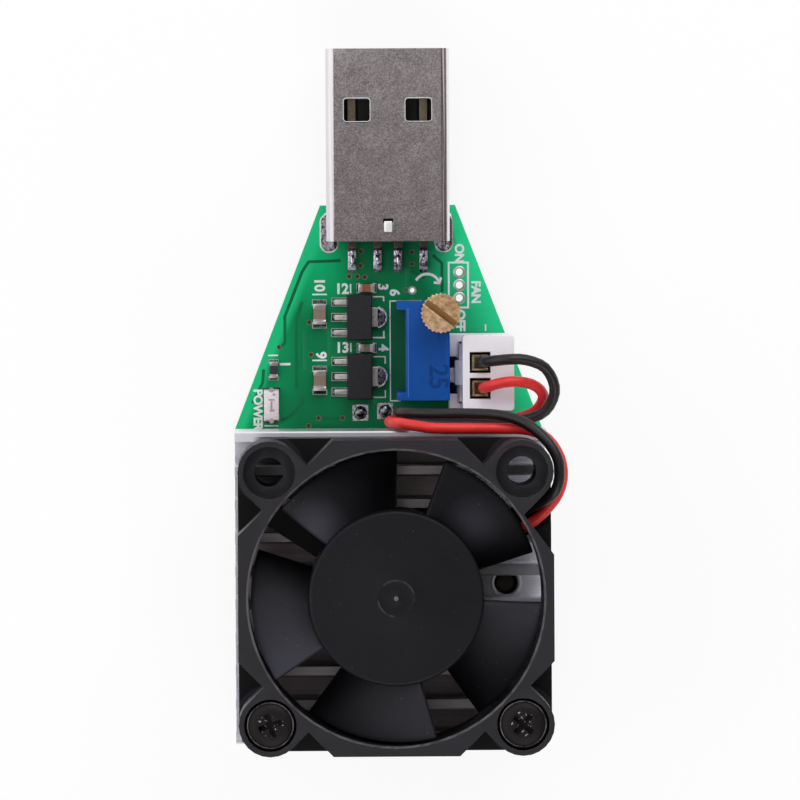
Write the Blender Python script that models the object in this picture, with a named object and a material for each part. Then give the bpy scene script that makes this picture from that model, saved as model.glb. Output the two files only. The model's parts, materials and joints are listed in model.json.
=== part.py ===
"""DC electronic load on a tapered circuit board, with a USB plug at its head.

The board frame has X to the right, Y towards the tip of the plug and Z up, away
from the board's component side. Its zero lies on the board's centre line, where
the straight sides begin to taper, on the component side. One empty moves this
frame so that the finished load stands on z = 0, centred on its bounding box.
"""

import math

import bmesh
import bpy
from mathutils import Matrix, Vector

MM = 0.001

# Clearances between pieces
SEAT_GAP = 0.3 * MM
SMALL_GAP = 0.2 * MM

# Circuit board
BOARD_WIDTH = 30.1 * MM
BOARD_THICKNESS = 1.6 * MM
TAPER_LENGTH = 21.9 * MM
NECK_WIDTH = 13.2 * MM
LEG_PROJECTION = 1.6 * MM
JUMPER_PLACE = (7.0 * MM, 14.05 * MM)
JUMPER_PITCH = 1.27 * MM
JUMPER_HOLE = 0.75 * MM
TEST_HOLE_PLACE = (2.4 * MM, 13.55 * MM)
TEST_HOLE = 0.5 * MM

# USB plug
SHELL_WIDTH = 12.0 * MM
SHELL_HEIGHT = 4.5 * MM
SHELL_LENGTH = 18.75 * MM
SHELL_WALL = 0.3 * MM
SHELL_RADIUS = 0.75 * MM
SHELL_OVERLAP = 3.5 * MM
LATCH_PITCH = 6.0 * MM
LATCH_WIDTH = 2.6 * MM
LATCH_LENGTH = 2.3 * MM
LATCH_FROM_TIP = 6.05 * MM
SHELL_SLOT = (1.0 * MM, 0.45 * MM)
SHELL_SLOT_FROM_REAR = 2.0 * MM
SHELL_LEG_LENGTH = 2.0 * MM
SHELL_LEG_FROM_REAR = 0.5 * MM
TONGUE_THICKNESS = 1.9 * MM
CONTACT_OFFSETS = (-3.5 * MM, -1.0 * MM, 1.0 * MM, 3.5 * MM)
CONTACT_WIDTH = 0.8 * MM
CONTACT_THICKNESS = 0.25 * MM
CONTACT_FOOT = 2.6 * MM
REAR_BLOCK_LENGTH = 4.0 * MM

# Trimmer
TRIMMER_PLACE = (3.29 * MM, 7.8 * MM)
TRIMMER_WIDTH = 5.0 * MM
TRIMMER_LENGTH = 9.53 * MM
TRIMMER_HEIGHT = 10.0 * MM
TRIMMER_RECESS = 0.85 * MM
TRIMMER_CORNER = 0.76 * MM
TRIMMER_PIN = 0.5 * MM
TRIMMER_PIN_PITCH = 2.54 * MM
SCREW_FROM_CENTRE = (1.65 * MM, 3.7 * MM)
SCREW_STEM = 0.9 * MM
SCREW_DEPTH = 6.5 * MM
KNOB_DIAMETER = 3.9 * MM
KNOB_HEIGHT = 2.1 * MM
KNOB_TEETH = 28
KNOB_TOOTH_DEPTH = 0.14 * MM
KNOB_SLOT_WIDTH = 0.65 * MM
KNOB_SLOT_DEPTH = 0.7 * MM
KNOB_SLOT_ANGLE = math.radians(-37)

# Small surface parts: name, place, length along its own axis, width, height, turned across
CHIP_PARTS = (
    ("capacitor_1", (-6.7 * MM, 11.3 * MM), 2.0 * MM, 1.25 * MM, 1.0 * MM, False),
    ("capacitor_2", (-6.7 * MM, 4.8 * MM), 2.0 * MM, 1.25 * MM, 1.0 * MM, False),
    ("capacitor_3", (-2.1 * MM, 13.8 * MM), 1.6 * MM, 0.8 * MM, 0.8 * MM, True),
    ("capacitor_4", (-2.1 * MM, 7.95 * MM), 1.6 * MM, 0.8 * MM, 0.8 * MM, True),
    ("resistor", (-11.2 * MM, 5.85 * MM), 1.6 * MM, 0.8 * MM, 0.5 * MM, False),
    ("power_lamp", (-11.45 * MM, 2.4 * MM), 3.1 * MM, 1.5 * MM, 1.1 * MM, False),
)
CHIP_CAP = 0.22
REGULATOR_PLACES = ((-2.8 * MM, 10.95 * MM), (-2.8 * MM, 5.15 * MM))
REGULATOR_LENGTH = 4.5 * MM
REGULATOR_WIDTH = 2.5 * MM
REGULATOR_HEIGHT = 1.1 * MM
REGULATOR_PLATE = 0.4 * MM
REGULATOR_PITCH = 1.5 * MM
REGULATOR_LEAD = 0.5 * MM
REGULATOR_LEAD_REACH = 1.2 * MM
REGULATOR_TAB = 1.9 * MM
REGULATOR_TAB_REACH = 1.3 * MM

# Fan connector
HEADER_PLACE = (8.75 * MM, 5.65 * MM)
HEADER_DEPTH = 5.75 * MM
HEADER_WIDTH = 7.4 * MM
HEADER_HEIGHT = 7.0 * MM
HEADER_WALL = 0.7 * MM
HEADER_FLOOR = 2.0 * MM
HEADER_SLOT = 1.1 * MM
PIN_PITCH = 2.5 * MM
PIN_SHIFT = 0.25 * MM
PIN_SIDE = 0.64 * MM
PIN_TOP = 6.5 * MM
PLUG_TOP = 9.8 * MM
PLUG_COLLAR_DEPTH = 5.0 * MM
PLUG_COLLAR_WIDTH = 7.3 * MM
PLUG_COLLAR_SHIFT = 0.8 * MM
TERMINAL_SIDE = 1.6 * MM
RIDGE_WIDTH = 2.4 * MM
RIDGE_DEPTH = 0.7 * MM

# Power transistor and what holds it
TRANSISTOR_WIDTH = 10.0 * MM
TRANSISTOR_CASE = 9.2 * MM
TRANSISTOR_LENGTH = 15.6 * MM
TAB_THICKNESS = 1.3 * MM
CASE_THICKNESS = 3.1 * MM
TAB_HOLE = 3.7 * MM
TAB_HOLE_FROM_END = 2.7 * MM
LEAD_PITCH = 2.54 * MM
LEAD_WIDTH = 0.8 * MM
LEAD_THICKNESS = 0.5 * MM
LEAD_REACH = 4.4 * MM
LEAD_BELOW_TAB = 2.6 * MM
PAD_THICKNESS = 0.3 * MM
PAD_WIDTH = 12.5 * MM
PAD_LENGTH = 17.0 * MM
FIXING_FROM_EDGE = 3.8 * MM
FIXING_SHANK = 2.2 * MM
FIXING_HEAD = 4.8 * MM
FIXING_DEPTH = 1.3 * MM

# Fan
FAN_SIDE = 30.0 * MM
FAN_HEIGHT = 10.0 * MM
FAN_OFFSET = (0.01 * FAN_SIDE, -0.02 * FAN_SIDE)
EAR_RADIUS = 0.1 * FAN_SIDE
FAN_HOLE_PITCH = FAN_SIDE - 2 * EAR_RADIUS
FLAT_LENGTH = 12.0 * MM
LEAD_RELIEF = 1.9 * MM
BORE_WALL = 0.95 * MM
BORE_DIAMETER = FAN_SIDE - 2 * BORE_WALL
BORE_CHAMFER = 0.2 * MM
FLANGE_THICKNESS = 1.6 * MM
EAR_HOLE = 2.8 * MM
EAR_COUNTERBORE = 5.0 * MM
COUNTERBORE_DEPTH = 1.8 * MM
STRUT_ANGLES = (30.0, 147.0, 267.0)
STRUT_WIDTH = 2.2 * MM
LEAD_STRUT_WIDTH = 3.0 * MM
STRUT_THICKNESS = 1.2 * MM
LEAD_NOTCH_HEIGHT = 3.0 * MM
HUB_DIAMETER = 16.7 * MM
HUB_WALL = 0.55 * MM
HUB_TOP = 0.9 * MM
HUB_CHAMFER = 0.3 * MM
HUB_RIM_HEIGHT = 2.9 * MM
HUB_BELOW_FRONT = 0.2 * MM
BLADE_COUNT = 5
BLADE_START = 17.5
BLADE_SPAN = 52.5
BLADE_THICKNESS = 0.6 * MM
BLADE_LOW = 3.2 * MM
BLADE_HIGH = 9.2 * MM
BLADE_TIP_GAP = 0.25 * MM
SHAFT_DIAMETER = 1.5 * MM
BOSS_DIAMETER = 3.8 * MM
BOSS_LENGTH = 1.3 * MM
MAGNET_THICKNESS = 0.7 * MM
MAGNET_LENGTH = 4.9 * MM
TUBE_WALL = 0.4 * MM
TUBE_HEIGHT = 7.1 * MM
BEARING_DIAMETER = 4.0 * MM
BEARING_LENGTH = 5.2 * MM
STATOR_BOTTOM = 4.0 * MM
STATOR_HEIGHT = 3.0 * MM
STATOR_GAP = 0.4 * MM
STATOR_POLES = 4
POLE_WIDTH = 2.0 * MM
POLE_SHOE = 0.9 * MM
POLE_SHOE_SPAN = 68.0
COIL_BUILD = 0.7 * MM
FAN_BOARD_THICKNESS = 0.8 * MM
FAN_BOARD_INSET = 1.1 * MM
FAN_SCREW_HEAD = 4.6 * MM
FAN_SCREW_HEAD_HEIGHT = 1.5 * MM
FAN_SCREW_SHANK = 2.3 * MM
FAN_SCREW_FILL = 0.75
FAN_SCREW_BITE = 4.5 * MM
CROSS_WIDTH = 0.55 * MM
CROSS_SPAN = 0.5

# Heatsink
HEATSINK_SIDE = FAN_SIDE
HEATSINK_BASE = 2.6 * MM
FIN_HEIGHT = 7.0 * MM
FIN_COUNT = 10
FIN_THICKNESS = HEATSINK_SIDE / 27
FIN_CHAMFER = 0.15 * MM
HEATSINK_HEAD = 0.25 * MM
BOARD_PAST_HEATSINK = 0.15 * MM

# Fan leads, routed by hand in the board frame, in millimetres
LEAD_DIAMETER = 1.06 * MM
BLACK_ROUTE = (
    (9.05, 6.75, 9.7), (9.15, 6.78, 10.6), (9.95, 6.85, 11.75), (11.4, 7.0, 12.4), (13.1, 6.95, 12.25),
    (15.03, 6.1, 11.8), (15.92, 4.0, 11.1), (15.05, 1.98, 10.3), (13.1, 1.15, 9.7), (10.8, 1.08, 9.35),
    (8.0, 1.1, 9.2), (4.6, 1.15, 9.3), (2.5, 1.4, 9.75), (1.2, 1.8, 10.8), (0.85, 2.05, 12.4),
    (1.3, 2.05, 14.0), (2.6, 1.95, 15.2), (4.6, 1.9, 15.8), (7.5, 1.9, 16.2), (9.9, 1.8, 16.85),
    (11.8, 1.45, 17.6), (13.45, 0.65, 18.4), (14.95, -0.75, 19.0), (15.87, -2.3, 19.3), (16.05, -3.6, 19.4),
    (15.92, -4.8, 19.35), (15.2, -6.0, 19.0),
)
RED_ROUTE = (
    (9.05, 4.2, 9.7), (9.1, 4.22, 10.3), (9.6, 4.4, 11.35), (10.75, 4.75, 12.05), (12.3, 4.85, 11.9),
    (13.95, 4.45, 11.0), (14.85, 3.4, 9.7), (14.2, 2.0, 8.35), (12.5, 1.25, 7.6), (10.4, 1.08, 7.42),
    (8.0, 1.1, 7.4), (4.6, 1.1, 7.5), (2.3, 1.1, 7.8), (0.7, 1.08, 8.9), (0.0, 1.06, 11.0),
    (0.1, 1.02, 13.7), (1.0, 0.98, 15.4), (2.3, 0.8, 16.4), (4.2, 0.55, 16.85), (7.5, 0.5, 16.85),
    (10.6, 0.48, 16.8), (12.8, 0.4, 16.9), (14.4, -0.1, 17.05), (15.5, -1.1, 17.25), (16.25, -2.6, 17.5),
    (16.4, -4.3, 17.75), (15.9, -5.9, 17.8), (14.9, -7.2, 17.7),
)
LEAD_SPACING = 1.3 * MM

# Heights above the component side of the board
BACK_PLANE = -BOARD_THICKNESS - LEG_PROJECTION
SHELL_BOTTOM = SMALL_GAP
CASE_BOTTOM = 0.4 * MM
TAB_BOTTOM = CASE_BOTTOM + CASE_THICKNESS + SMALL_GAP
TAB_TOP = TAB_BOTTOM + TAB_THICKNESS
PAD_BOTTOM = TAB_TOP + SMALL_GAP
HEATSINK_BOTTOM = PAD_BOTTOM + PAD_THICKNESS + SMALL_GAP
FIN_FLOOR = HEATSINK_BOTTOM + HEATSINK_BASE
FIN_TOP = FIN_FLOOR + FIN_HEIGHT
FAN_BACK = FIN_TOP + SEAT_GAP
FAN_FRONT = FAN_BACK + FAN_HEIGHT

# Sizes and places that follow from the others
HEATSINK_CENTRE = Vector((0.0, HEATSINK_HEAD - HEATSINK_SIDE / 2, 0.0))
BOARD_TAIL = HEATSINK_SIDE - HEATSINK_HEAD + BOARD_PAST_HEATSINK
FIN_PITCH = (HEATSINK_SIDE - FIN_THICKNESS) / (FIN_COUNT - 1)
FAN_SCREW_CORE = FAN_SCREW_FILL * (FIN_PITCH - FIN_THICKNESS)
FIXING_FROM_CENTRE = HEATSINK_SIDE / 2 - FIXING_FROM_EDGE
FAN_CENTRE = HEATSINK_CENTRE + Vector((FAN_OFFSET[0], FAN_OFFSET[1], 0.0))
SHELL_REAR = TAPER_LENGTH - SHELL_OVERLAP
SHELL_TIP = SHELL_REAR + SHELL_LENGTH
SHELL_LEG_PLACE = SHELL_REAR + SHELL_LEG_FROM_REAR + SHELL_LEG_LENGTH / 2
PIN_ROWS = (PIN_PITCH / 2 - PIN_SHIFT, -PIN_PITCH / 2 - PIN_SHIFT)
FIXING_PLACE = (FIXING_FROM_CENTRE, HEATSINK_CENTRE.y)
TAB_END = FIXING_FROM_CENTRE + TAB_HOLE_FROM_END
LEAD_COLUMN = TAB_END - TRANSISTOR_LENGTH - LEAD_REACH
BOARD_BOTTOM_Y = -BOARD_TAIL
FAN_BOTTOM_Y = FAN_CENTRE.y - FAN_SIDE / 2


def clear_scene():
    for old in list(bpy.data.objects):
        bpy.data.objects.remove(old, do_unlink=True)


def make_material(name, colour, roughness, metallic=0.0):
    material = bpy.data.materials.new(name)
    material.use_nodes = True
    shader = material.node_tree.nodes["Principled BSDF"]
    shader.inputs["Base Color"].default_value = (*colour, 1.0)
    shader.inputs["Roughness"].default_value = roughness
    shader.inputs["Metallic"].default_value = metallic
    material.diffuse_color = (*colour, 1.0)
    return material


def make_empty(name, place, parent=None):
    empty = bpy.data.objects.new(name, None)
    empty.location = place
    empty.parent = parent
    bpy.context.collection.objects.link(empty)
    return empty


def make_object(name, shape, material, parent):
    """Turn a bmesh into a named object under its parent empty."""
    bmesh.ops.recalc_face_normals(shape, faces=shape.faces)
    mesh = bpy.data.meshes.new(name)
    shape.to_mesh(mesh)
    shape.free()
    mesh.shade_smooth()
    mesh.set_sharp_from_angle(angle=math.radians(32))
    if material:
        mesh.materials.append(material)
    piece = bpy.data.objects.new(name, mesh)
    piece.parent = parent
    bpy.context.collection.objects.link(piece)
    return piece


def combine(target, operation, shape, name):
    """Cut a shape from a piece, or join it on, with a Boolean that stays on the piece."""
    guide = make_object(target.name + "_" + name, shape, None, target.parent)
    guide.hide_render = True
    guide.display_type = "WIRE"
    boolean = target.modifiers.new(name, "BOOLEAN")
    boolean.operation = operation
    boolean.solver = "EXACT"
    boolean.object = guide
    return guide


def cut(target, shape, name):
    return combine(target, "DIFFERENCE", shape, name)


def join(target, shape, name):
    return combine(target, "UNION", shape, name)


def prism(outline, start, end, plane="xy"):
    """Extrude a closed outline from start to end along the axis that its plane leaves out."""
    places = {
        "xy": lambda a, b: (a, b, start),
        "xz": lambda a, b: (a, start, b),
        "yz": lambda a, b: (start, a, b),
    }
    along = {"xy": (0, 0, 1), "xz": (0, 1, 0), "yz": (1, 0, 0)}[plane]
    shape = bmesh.new()
    ring = [shape.verts.new(places[plane](a, b)) for a, b in outline]
    face = shape.faces.new(ring)
    grown = bmesh.ops.extrude_face_region(shape, geom=[face])["geom"]
    moved = [item for item in grown if isinstance(item, bmesh.types.BMVert)]
    bmesh.ops.translate(shape, verts=moved, vec=Vector(along) * (end - start))
    bmesh.ops.recalc_face_normals(shape, faces=shape.faces)
    return shape


def rectangle(width, depth, centre=(0.0, 0.0)):
    x, y = centre
    half_width, half_depth = width / 2, depth / 2
    return [
        (x - half_width, y - half_depth), (x + half_width, y - half_depth),
        (x + half_width, y + half_depth), (x - half_width, y + half_depth),
    ]


def block(low, high):
    """A box between two opposite corners."""
    outline = rectangle(high[0] - low[0], high[1] - low[1],
                        ((low[0] + high[0]) / 2, (low[1] + high[1]) / 2))
    return prism(outline, low[2], high[2])


def arc(centre, radius, start, end, steps):
    """Points on an arc, with its angles in degrees."""
    points = []
    for step in range(steps + 1):
        angle = math.radians(start + (end - start) * step / steps)
        points.append((centre[0] + radius * math.cos(angle), centre[1] + radius * math.sin(angle)))
    return points


def circle(radius, centre=(0.0, 0.0), steps=32):
    return arc(centre, radius, 0, 360, steps)[:-1]


def rounded_rectangle(width, depth, radius, centre=(0.0, 0.0), steps=4):
    points = []
    for quarter, (side_x, side_y) in enumerate(((1, 1), (-1, 1), (-1, -1), (1, -1))):
        corner = (centre[0] + side_x * (width / 2 - radius), centre[1] + side_y * (depth / 2 - radius))
        points += arc(corner, radius, 90 * quarter, 90 * quarter + 90, steps)
    return points


def cylinder(radius, bottom, top, centre=(0.0, 0.0), steps=32):
    return prism(circle(radius, centre, steps), bottom, top)


def lathe(profile, steps=48):
    """Turn a profile of (radius, height) points about Z, closed between its ends."""
    shape = bmesh.new()
    points = [shape.verts.new((radius, 0, height)) for radius, height in profile]
    pairs = list(zip(points, points[1:]))
    if profile[0][0] > 0 or profile[-1][0] > 0:
        pairs.append((points[-1], points[0]))
    edges = [shape.edges.new(pair) for pair in pairs]
    bmesh.ops.spin(shape, geom=points + edges, cent=(0, 0, 0), axis=(0, 0, 1),
                   angle=2 * math.pi, steps=steps)
    bmesh.ops.remove_doubles(shape, verts=shape.verts, dist=0.001 * MM)
    bmesh.ops.recalc_face_normals(shape, faces=shape.faces)
    return shape


def merged(shapes):
    """Several separate closed shapes in one bmesh, as a cutter for a pattern of holes."""
    whole = bmesh.new()
    for shape in shapes:
        mesh = bpy.data.meshes.new("pattern")
        shape.to_mesh(mesh)
        shape.free()
        whole.from_mesh(mesh)
        bpy.data.meshes.remove(mesh)
    return whole


def turned(shape, angle, centre=(0.0, 0.0, 0.0)):
    """Turn a shape about a vertical axis through a centre."""
    bmesh.ops.rotate(shape, verts=shape.verts, cent=centre, matrix=Matrix.Rotation(angle, 3, "Z"))
    return shape


def moved(shape, offset):
    bmesh.ops.translate(shape, verts=shape.verts, vec=Vector(offset))
    return shape


def strip_outline(path, thickness):
    """Outline of a flat strip bent along a path, mitred at each bend."""
    count = len(path)
    left, right = [], []
    for index in range(count):
        here = Vector(path[index])
        before = (here - Vector(path[index - 1])).normalized() if index > 0 else None
        after = (Vector(path[index + 1]) - here).normalized() if index < count - 1 else None
        direction = (before or after) + (after or before)
        direction.normalize()
        normal = Vector((-direction.y, direction.x))
        run = after or before
        stretch = 1.0 / max(0.3, normal.dot(Vector((-run.y, run.x))))
        offset = normal * (thickness / 2 * stretch)
        left.append(tuple(here + offset))
        right.append(tuple(here - offset))
    return left + right[::-1]


def cross_cutter(span, width, bottom, top, centre=(0.0, 0.0), angle=0.0):
    """The cross recess of a screw head, tapered like its driver."""
    half, arm = span / 2, width / 2
    outline = [
        (half, -arm), (half, arm), (arm, arm), (arm, half), (-arm, half), (-arm, arm),
        (-half, arm), (-half, -arm), (-arm, -arm), (-arm, -half), (arm, -half), (arm, -arm),
    ]
    shape = prism(outline, bottom, top)
    turned(shape, angle)
    return moved(shape, (centre[0], centre[1], 0.0))


# Circuit board


def board_outline():
    half, neck = BOARD_WIDTH / 2, NECK_WIDTH / 2
    return [
        (-neck, TAPER_LENGTH), (-half, 0.0), (-half, -BOARD_TAIL),
        (half, -BOARD_TAIL), (half, 0.0), (neck, TAPER_LENGTH),
    ]


def board_holes():
    """Every hole that a leg, pin or screw passes through, and the three jumper holes."""
    bottom, top = -2 * BOARD_THICKNESS, BOARD_THICKNESS
    holes = [cylinder(TEST_HOLE / 2, bottom, top, TEST_HOLE_PLACE, 12)]
    for row in (-1, 0, 1):
        place = (JUMPER_PLACE[0], JUMPER_PLACE[1] + row * JUMPER_PITCH)
        holes.append(cylinder(JUMPER_HOLE / 2, bottom, top, place, 12))
        pin = (TRIMMER_PLACE[0], TRIMMER_PLACE[1] + row * TRIMMER_PIN_PITCH)
        holes.append(cylinder(TRIMMER_PIN / 2 + SMALL_GAP, bottom, top, pin, 12))
        lead = (LEAD_COLUMN, HEATSINK_CENTRE.y + row * LEAD_PITCH)
        holes.append(cylinder(LEAD_WIDTH / 2 + SEAT_GAP, bottom, top, lead, 12))
    for row in PIN_ROWS:
        side = PIN_SIDE + 2 * SMALL_GAP
        low = (HEADER_PLACE[0] - side / 2, HEADER_PLACE[1] + row - side / 2, bottom)
        high = (HEADER_PLACE[0] + side / 2, HEADER_PLACE[1] + row + side / 2, top)
        holes.append(block(low, high))
    for side in (-1, 1):
        slot_width = SHELL_WALL + 2 * SEAT_GAP
        slot_length = SHELL_LEG_LENGTH + 2 * SEAT_GAP
        centre = (side * (SHELL_WIDTH - SHELL_WALL) / 2, SHELL_LEG_PLACE)
        outline = rounded_rectangle(slot_width, slot_length, slot_width * 0.45, centre, 3)
        holes.append(prism(outline, bottom, top))
    holes.append(cylinder(FIXING_SHANK / 2 + SEAT_GAP, bottom, top, FIXING_PLACE, 20))
    return holes


def make_board(frame):
    material = make_material("green_solder_mask", (0.02, 0.26, 0.13), 0.4)
    board = make_object("circuit_board", prism(board_outline(), -BOARD_THICKNESS, 0.0), material, frame)
    cut(board, merged(board_holes()), "holes")


# USB plug


def make_shell(frame):
    material = make_material("nickel_plate", (0.55, 0.53, 0.5), 0.32, 1.0)
    middle = (0.0, SHELL_BOTTOM + SHELL_HEIGHT / 2)
    outer = rounded_rectangle(SHELL_WIDTH, SHELL_HEIGHT, SHELL_RADIUS, middle)
    shell = make_object("usb_shell", prism(outer, SHELL_REAR, SHELL_TIP, "xz"), material, frame)
    inner = rounded_rectangle(SHELL_WIDTH - 2 * SHELL_WALL, SHELL_HEIGHT - 2 * SHELL_WALL,
                              SHELL_RADIUS - SHELL_WALL, middle)
    past = 1.0 * MM
    cut(shell, prism(inner, SHELL_REAR - past, SHELL_TIP + past, "xz"), "cavity")
    windows = []
    for side in (-1, 1):
        centre = (side * LATCH_PITCH / 2, SHELL_TIP - LATCH_FROM_TIP)
        outline = rounded_rectangle(LATCH_WIDTH, LATCH_LENGTH, 0.3 * MM, centre, 3)
        windows.append(prism(outline, SHELL_BOTTOM - past, SHELL_BOTTOM + SHELL_HEIGHT + past))
    slot = rounded_rectangle(*SHELL_SLOT, 0.12 * MM, (0.0, SHELL_REAR + SHELL_SLOT_FROM_REAR), 2)
    windows.append(prism(slot, middle[1], SHELL_BOTTOM + SHELL_HEIGHT + past))
    cut(shell, merged(windows), "windows_and_slot")
    leg_top = SHELL_BOTTOM + SHELL_RADIUS + 0.5 * MM
    leg_thickness = SHELL_WALL * 0.86
    for side, label in ((-1, "left"), (1, "right")):
        centre = side * (SHELL_WIDTH - SHELL_WALL) / 2
        low = (centre - leg_thickness / 2, SHELL_LEG_PLACE - SHELL_LEG_LENGTH / 2, BACK_PLANE)
        high = (centre + leg_thickness / 2, SHELL_LEG_PLACE + SHELL_LEG_LENGTH / 2, leg_top)
        join(shell, block(low, high), "leg_" + label)


def make_insulator(frame):
    """Moulded tongue with a groove and a tunnel for each contact."""
    material = make_material("black_polyester", (0.03, 0.03, 0.032), 0.45)
    inside = SHELL_WALL + SMALL_GAP
    half = SHELL_WIDTH / 2 - inside
    bottom = SHELL_BOTTOM + inside
    tongue_top = bottom + TONGUE_THICKNESS
    roof = SHELL_BOTTOM + SHELL_HEIGHT - inside
    rear = SHELL_REAR + SMALL_GAP
    side_view = [
        (rear, bottom), (SHELL_TIP - SEAT_GAP, bottom), (SHELL_TIP - SEAT_GAP, tongue_top),
        (rear + REAR_BLOCK_LENGTH, tongue_top), (rear + REAR_BLOCK_LENGTH, roof), (rear, roof),
    ]
    piece = make_object("usb_insulator", prism(side_view, -half, half, "yz"), material, frame)
    grooves = []
    for index, offset in enumerate(CONTACT_OFFSETS):
        groove_half = CONTACT_WIDTH / 2 + SMALL_GAP
        floor = tongue_top - CONTACT_THICKNESS - SMALL_GAP
        low = (offset - groove_half, rear - SEAT_GAP, floor)
        high = (offset + groove_half, contact_end(index) + SEAT_GAP, tongue_top + SMALL_GAP)
        grooves.append(block(low, high))
    cut(piece, merged(grooves), "contact_grooves")
    return tongue_top


def contact_end(index):
    """The two outer contacts reach closer to the tip, so that power joins first."""
    reach = 1.4 * MM if index in (0, 3) else 2.4 * MM
    return SHELL_TIP - reach


def make_contacts(frame, tongue_top):
    material = make_material("gold_plate", (0.75, 0.55, 0.2), 0.25, 1.0)
    height = tongue_top - CONTACT_THICKNESS / 2
    foot_height = SMALL_GAP + CONTACT_THICKNESS / 2
    bend = SHELL_REAR - 0.75 * MM
    foot_end = SHELL_REAR - CONTACT_FOOT - SMALL_GAP
    for index, offset in enumerate(CONTACT_OFFSETS):
        path = [
            (contact_end(index), height), (bend + 0.2 * MM, height), (bend, height - 0.2 * MM),
            (bend, foot_height + 0.25 * MM), (bend - 0.2 * MM, foot_height), (foot_end, foot_height),
        ]
        outline = strip_outline(path, CONTACT_THICKNESS)
        low, high = offset - CONTACT_WIDTH / 2, offset + CONTACT_WIDTH / 2
        make_object(f"usb_contact_{index + 1}", prism(outline, low, high, "yz"), material, frame)


# Trimmer


def make_trimmer(frame):
    """Blue body with a sunk side face, blind holes for its pins and a bore for its screw."""
    place = make_empty("trimmer_place", (*TRIMMER_PLACE, 0.0), frame)
    blue = make_material("blue_moulding", (0.01, 0.13, 0.5), 0.4)
    tin = make_material("tinned_wire", (0.6, 0.6, 0.58), 0.35, 1.0)
    bottom, top = SMALL_GAP, SMALL_GAP + TRIMMER_HEIGHT
    half_width, half_length = TRIMMER_WIDTH / 2, TRIMMER_LENGTH / 2
    body = make_object("trimmer_body", block((-half_width, -half_length, bottom),
                                             (half_width, half_length, top)), blue, place)
    past = 1.0 * MM
    reach = half_length - TRIMMER_CORNER
    recess = block((-half_width - past, -reach, bottom - past),
                   (-half_width + TRIMMER_RECESS, reach, top + past))
    cut(body, recess, "side_recess")
    cut(body, cylinder(SCREW_STEM / 2 + SMALL_GAP, top - SCREW_DEPTH, top + past,
                       SCREW_FROM_CENTRE, 24), "screw_bore")
    blind_depth = 1.2 * MM
    sockets = []
    for row in (-1, 0, 1):
        centre = (0.0, row * TRIMMER_PIN_PITCH)
        sockets.append(cylinder(TRIMMER_PIN / 2 + SMALL_GAP, bottom - past, bottom + blind_depth,
                                centre, 12))
        pin = cylinder(TRIMMER_PIN / 2, BACK_PLANE, bottom + blind_depth - SMALL_GAP, centre, 12)
        make_object(f"trimmer_pin_{row + 2}", pin, tin, place)
    cut(body, merged(sockets), "pin_sockets")


def make_knob(frame):
    """Knurled brass head with a driver slot, on the stem of the adjusting screw."""
    place = (TRIMMER_PLACE[0] + SCREW_FROM_CENTRE[0], TRIMMER_PLACE[1] + SCREW_FROM_CENTRE[1], 0.0)
    axis = make_empty("trimmer_axis", place, frame)
    brass = make_material("brass", (0.72, 0.5, 0.2), 0.3, 1.0)
    bottom = SMALL_GAP + TRIMMER_HEIGHT + SEAT_GAP
    top = bottom + KNOB_HEIGHT
    outline = []
    for tooth in range(KNOB_TEETH):
        step = 2 * math.pi / KNOB_TEETH
        for share, radius in ((0.0, KNOB_DIAMETER / 2), (0.5, KNOB_DIAMETER / 2 - KNOB_TOOTH_DEPTH)):
            angle = (tooth + share) * step
            outline.append((radius * math.cos(angle), radius * math.sin(angle)))
    knob = make_object("trimmer_knob", prism(outline, bottom, top), brass, axis)
    stem_end = SMALL_GAP + TRIMMER_HEIGHT - SCREW_DEPTH + SEAT_GAP
    join(knob, cylinder(SCREW_STEM / 2, stem_end, bottom + KNOB_HEIGHT / 4, steps=24), "stem")
    slot = block((-KNOB_DIAMETER, -KNOB_SLOT_WIDTH / 2, top - KNOB_SLOT_DEPTH),
                 (KNOB_DIAMETER, KNOB_SLOT_WIDTH / 2, top + KNOB_HEIGHT))
    cut(knob, turned(slot, KNOB_SLOT_ANGLE), "driver_slot")


# Small surface parts


def chip_shape(length, width, height, across):
    """A ceramic block between two slightly larger end caps."""
    cap = length * CHIP_CAP
    waist = width * 0.94
    half, mid = length / 2, length / 2 - cap
    outline = [
        (-half, -width / 2), (-mid, -width / 2), (-mid, -waist / 2), (mid, -waist / 2),
        (mid, -width / 2), (half, -width / 2), (half, width / 2), (mid, width / 2),
        (mid, waist / 2), (-mid, waist / 2), (-mid, width / 2), (-half, width / 2),
    ]
    shape = prism(outline, SMALL_GAP, SMALL_GAP + height)
    return shape if across else turned(shape, math.pi / 2)


def make_chips(frame):
    colours = {
        "capacitor_1": (0.45, 0.3, 0.18), "capacitor_2": (0.45, 0.3, 0.18),
        "capacitor_3": (0.5, 0.27, 0.12), "capacitor_4": (0.5, 0.27, 0.12),
        "resistor": (0.03, 0.03, 0.03), "power_lamp": (0.85, 0.85, 0.78),
    }
    for name, place, length, width, height, across in CHIP_PARTS:
        at = make_empty(name + "_place", (*place, 0.0), frame)
        material = make_material(name + "_ceramic", colours[name], 0.45)
        make_object(name, chip_shape(length, width, height, across), material, at)


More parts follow.
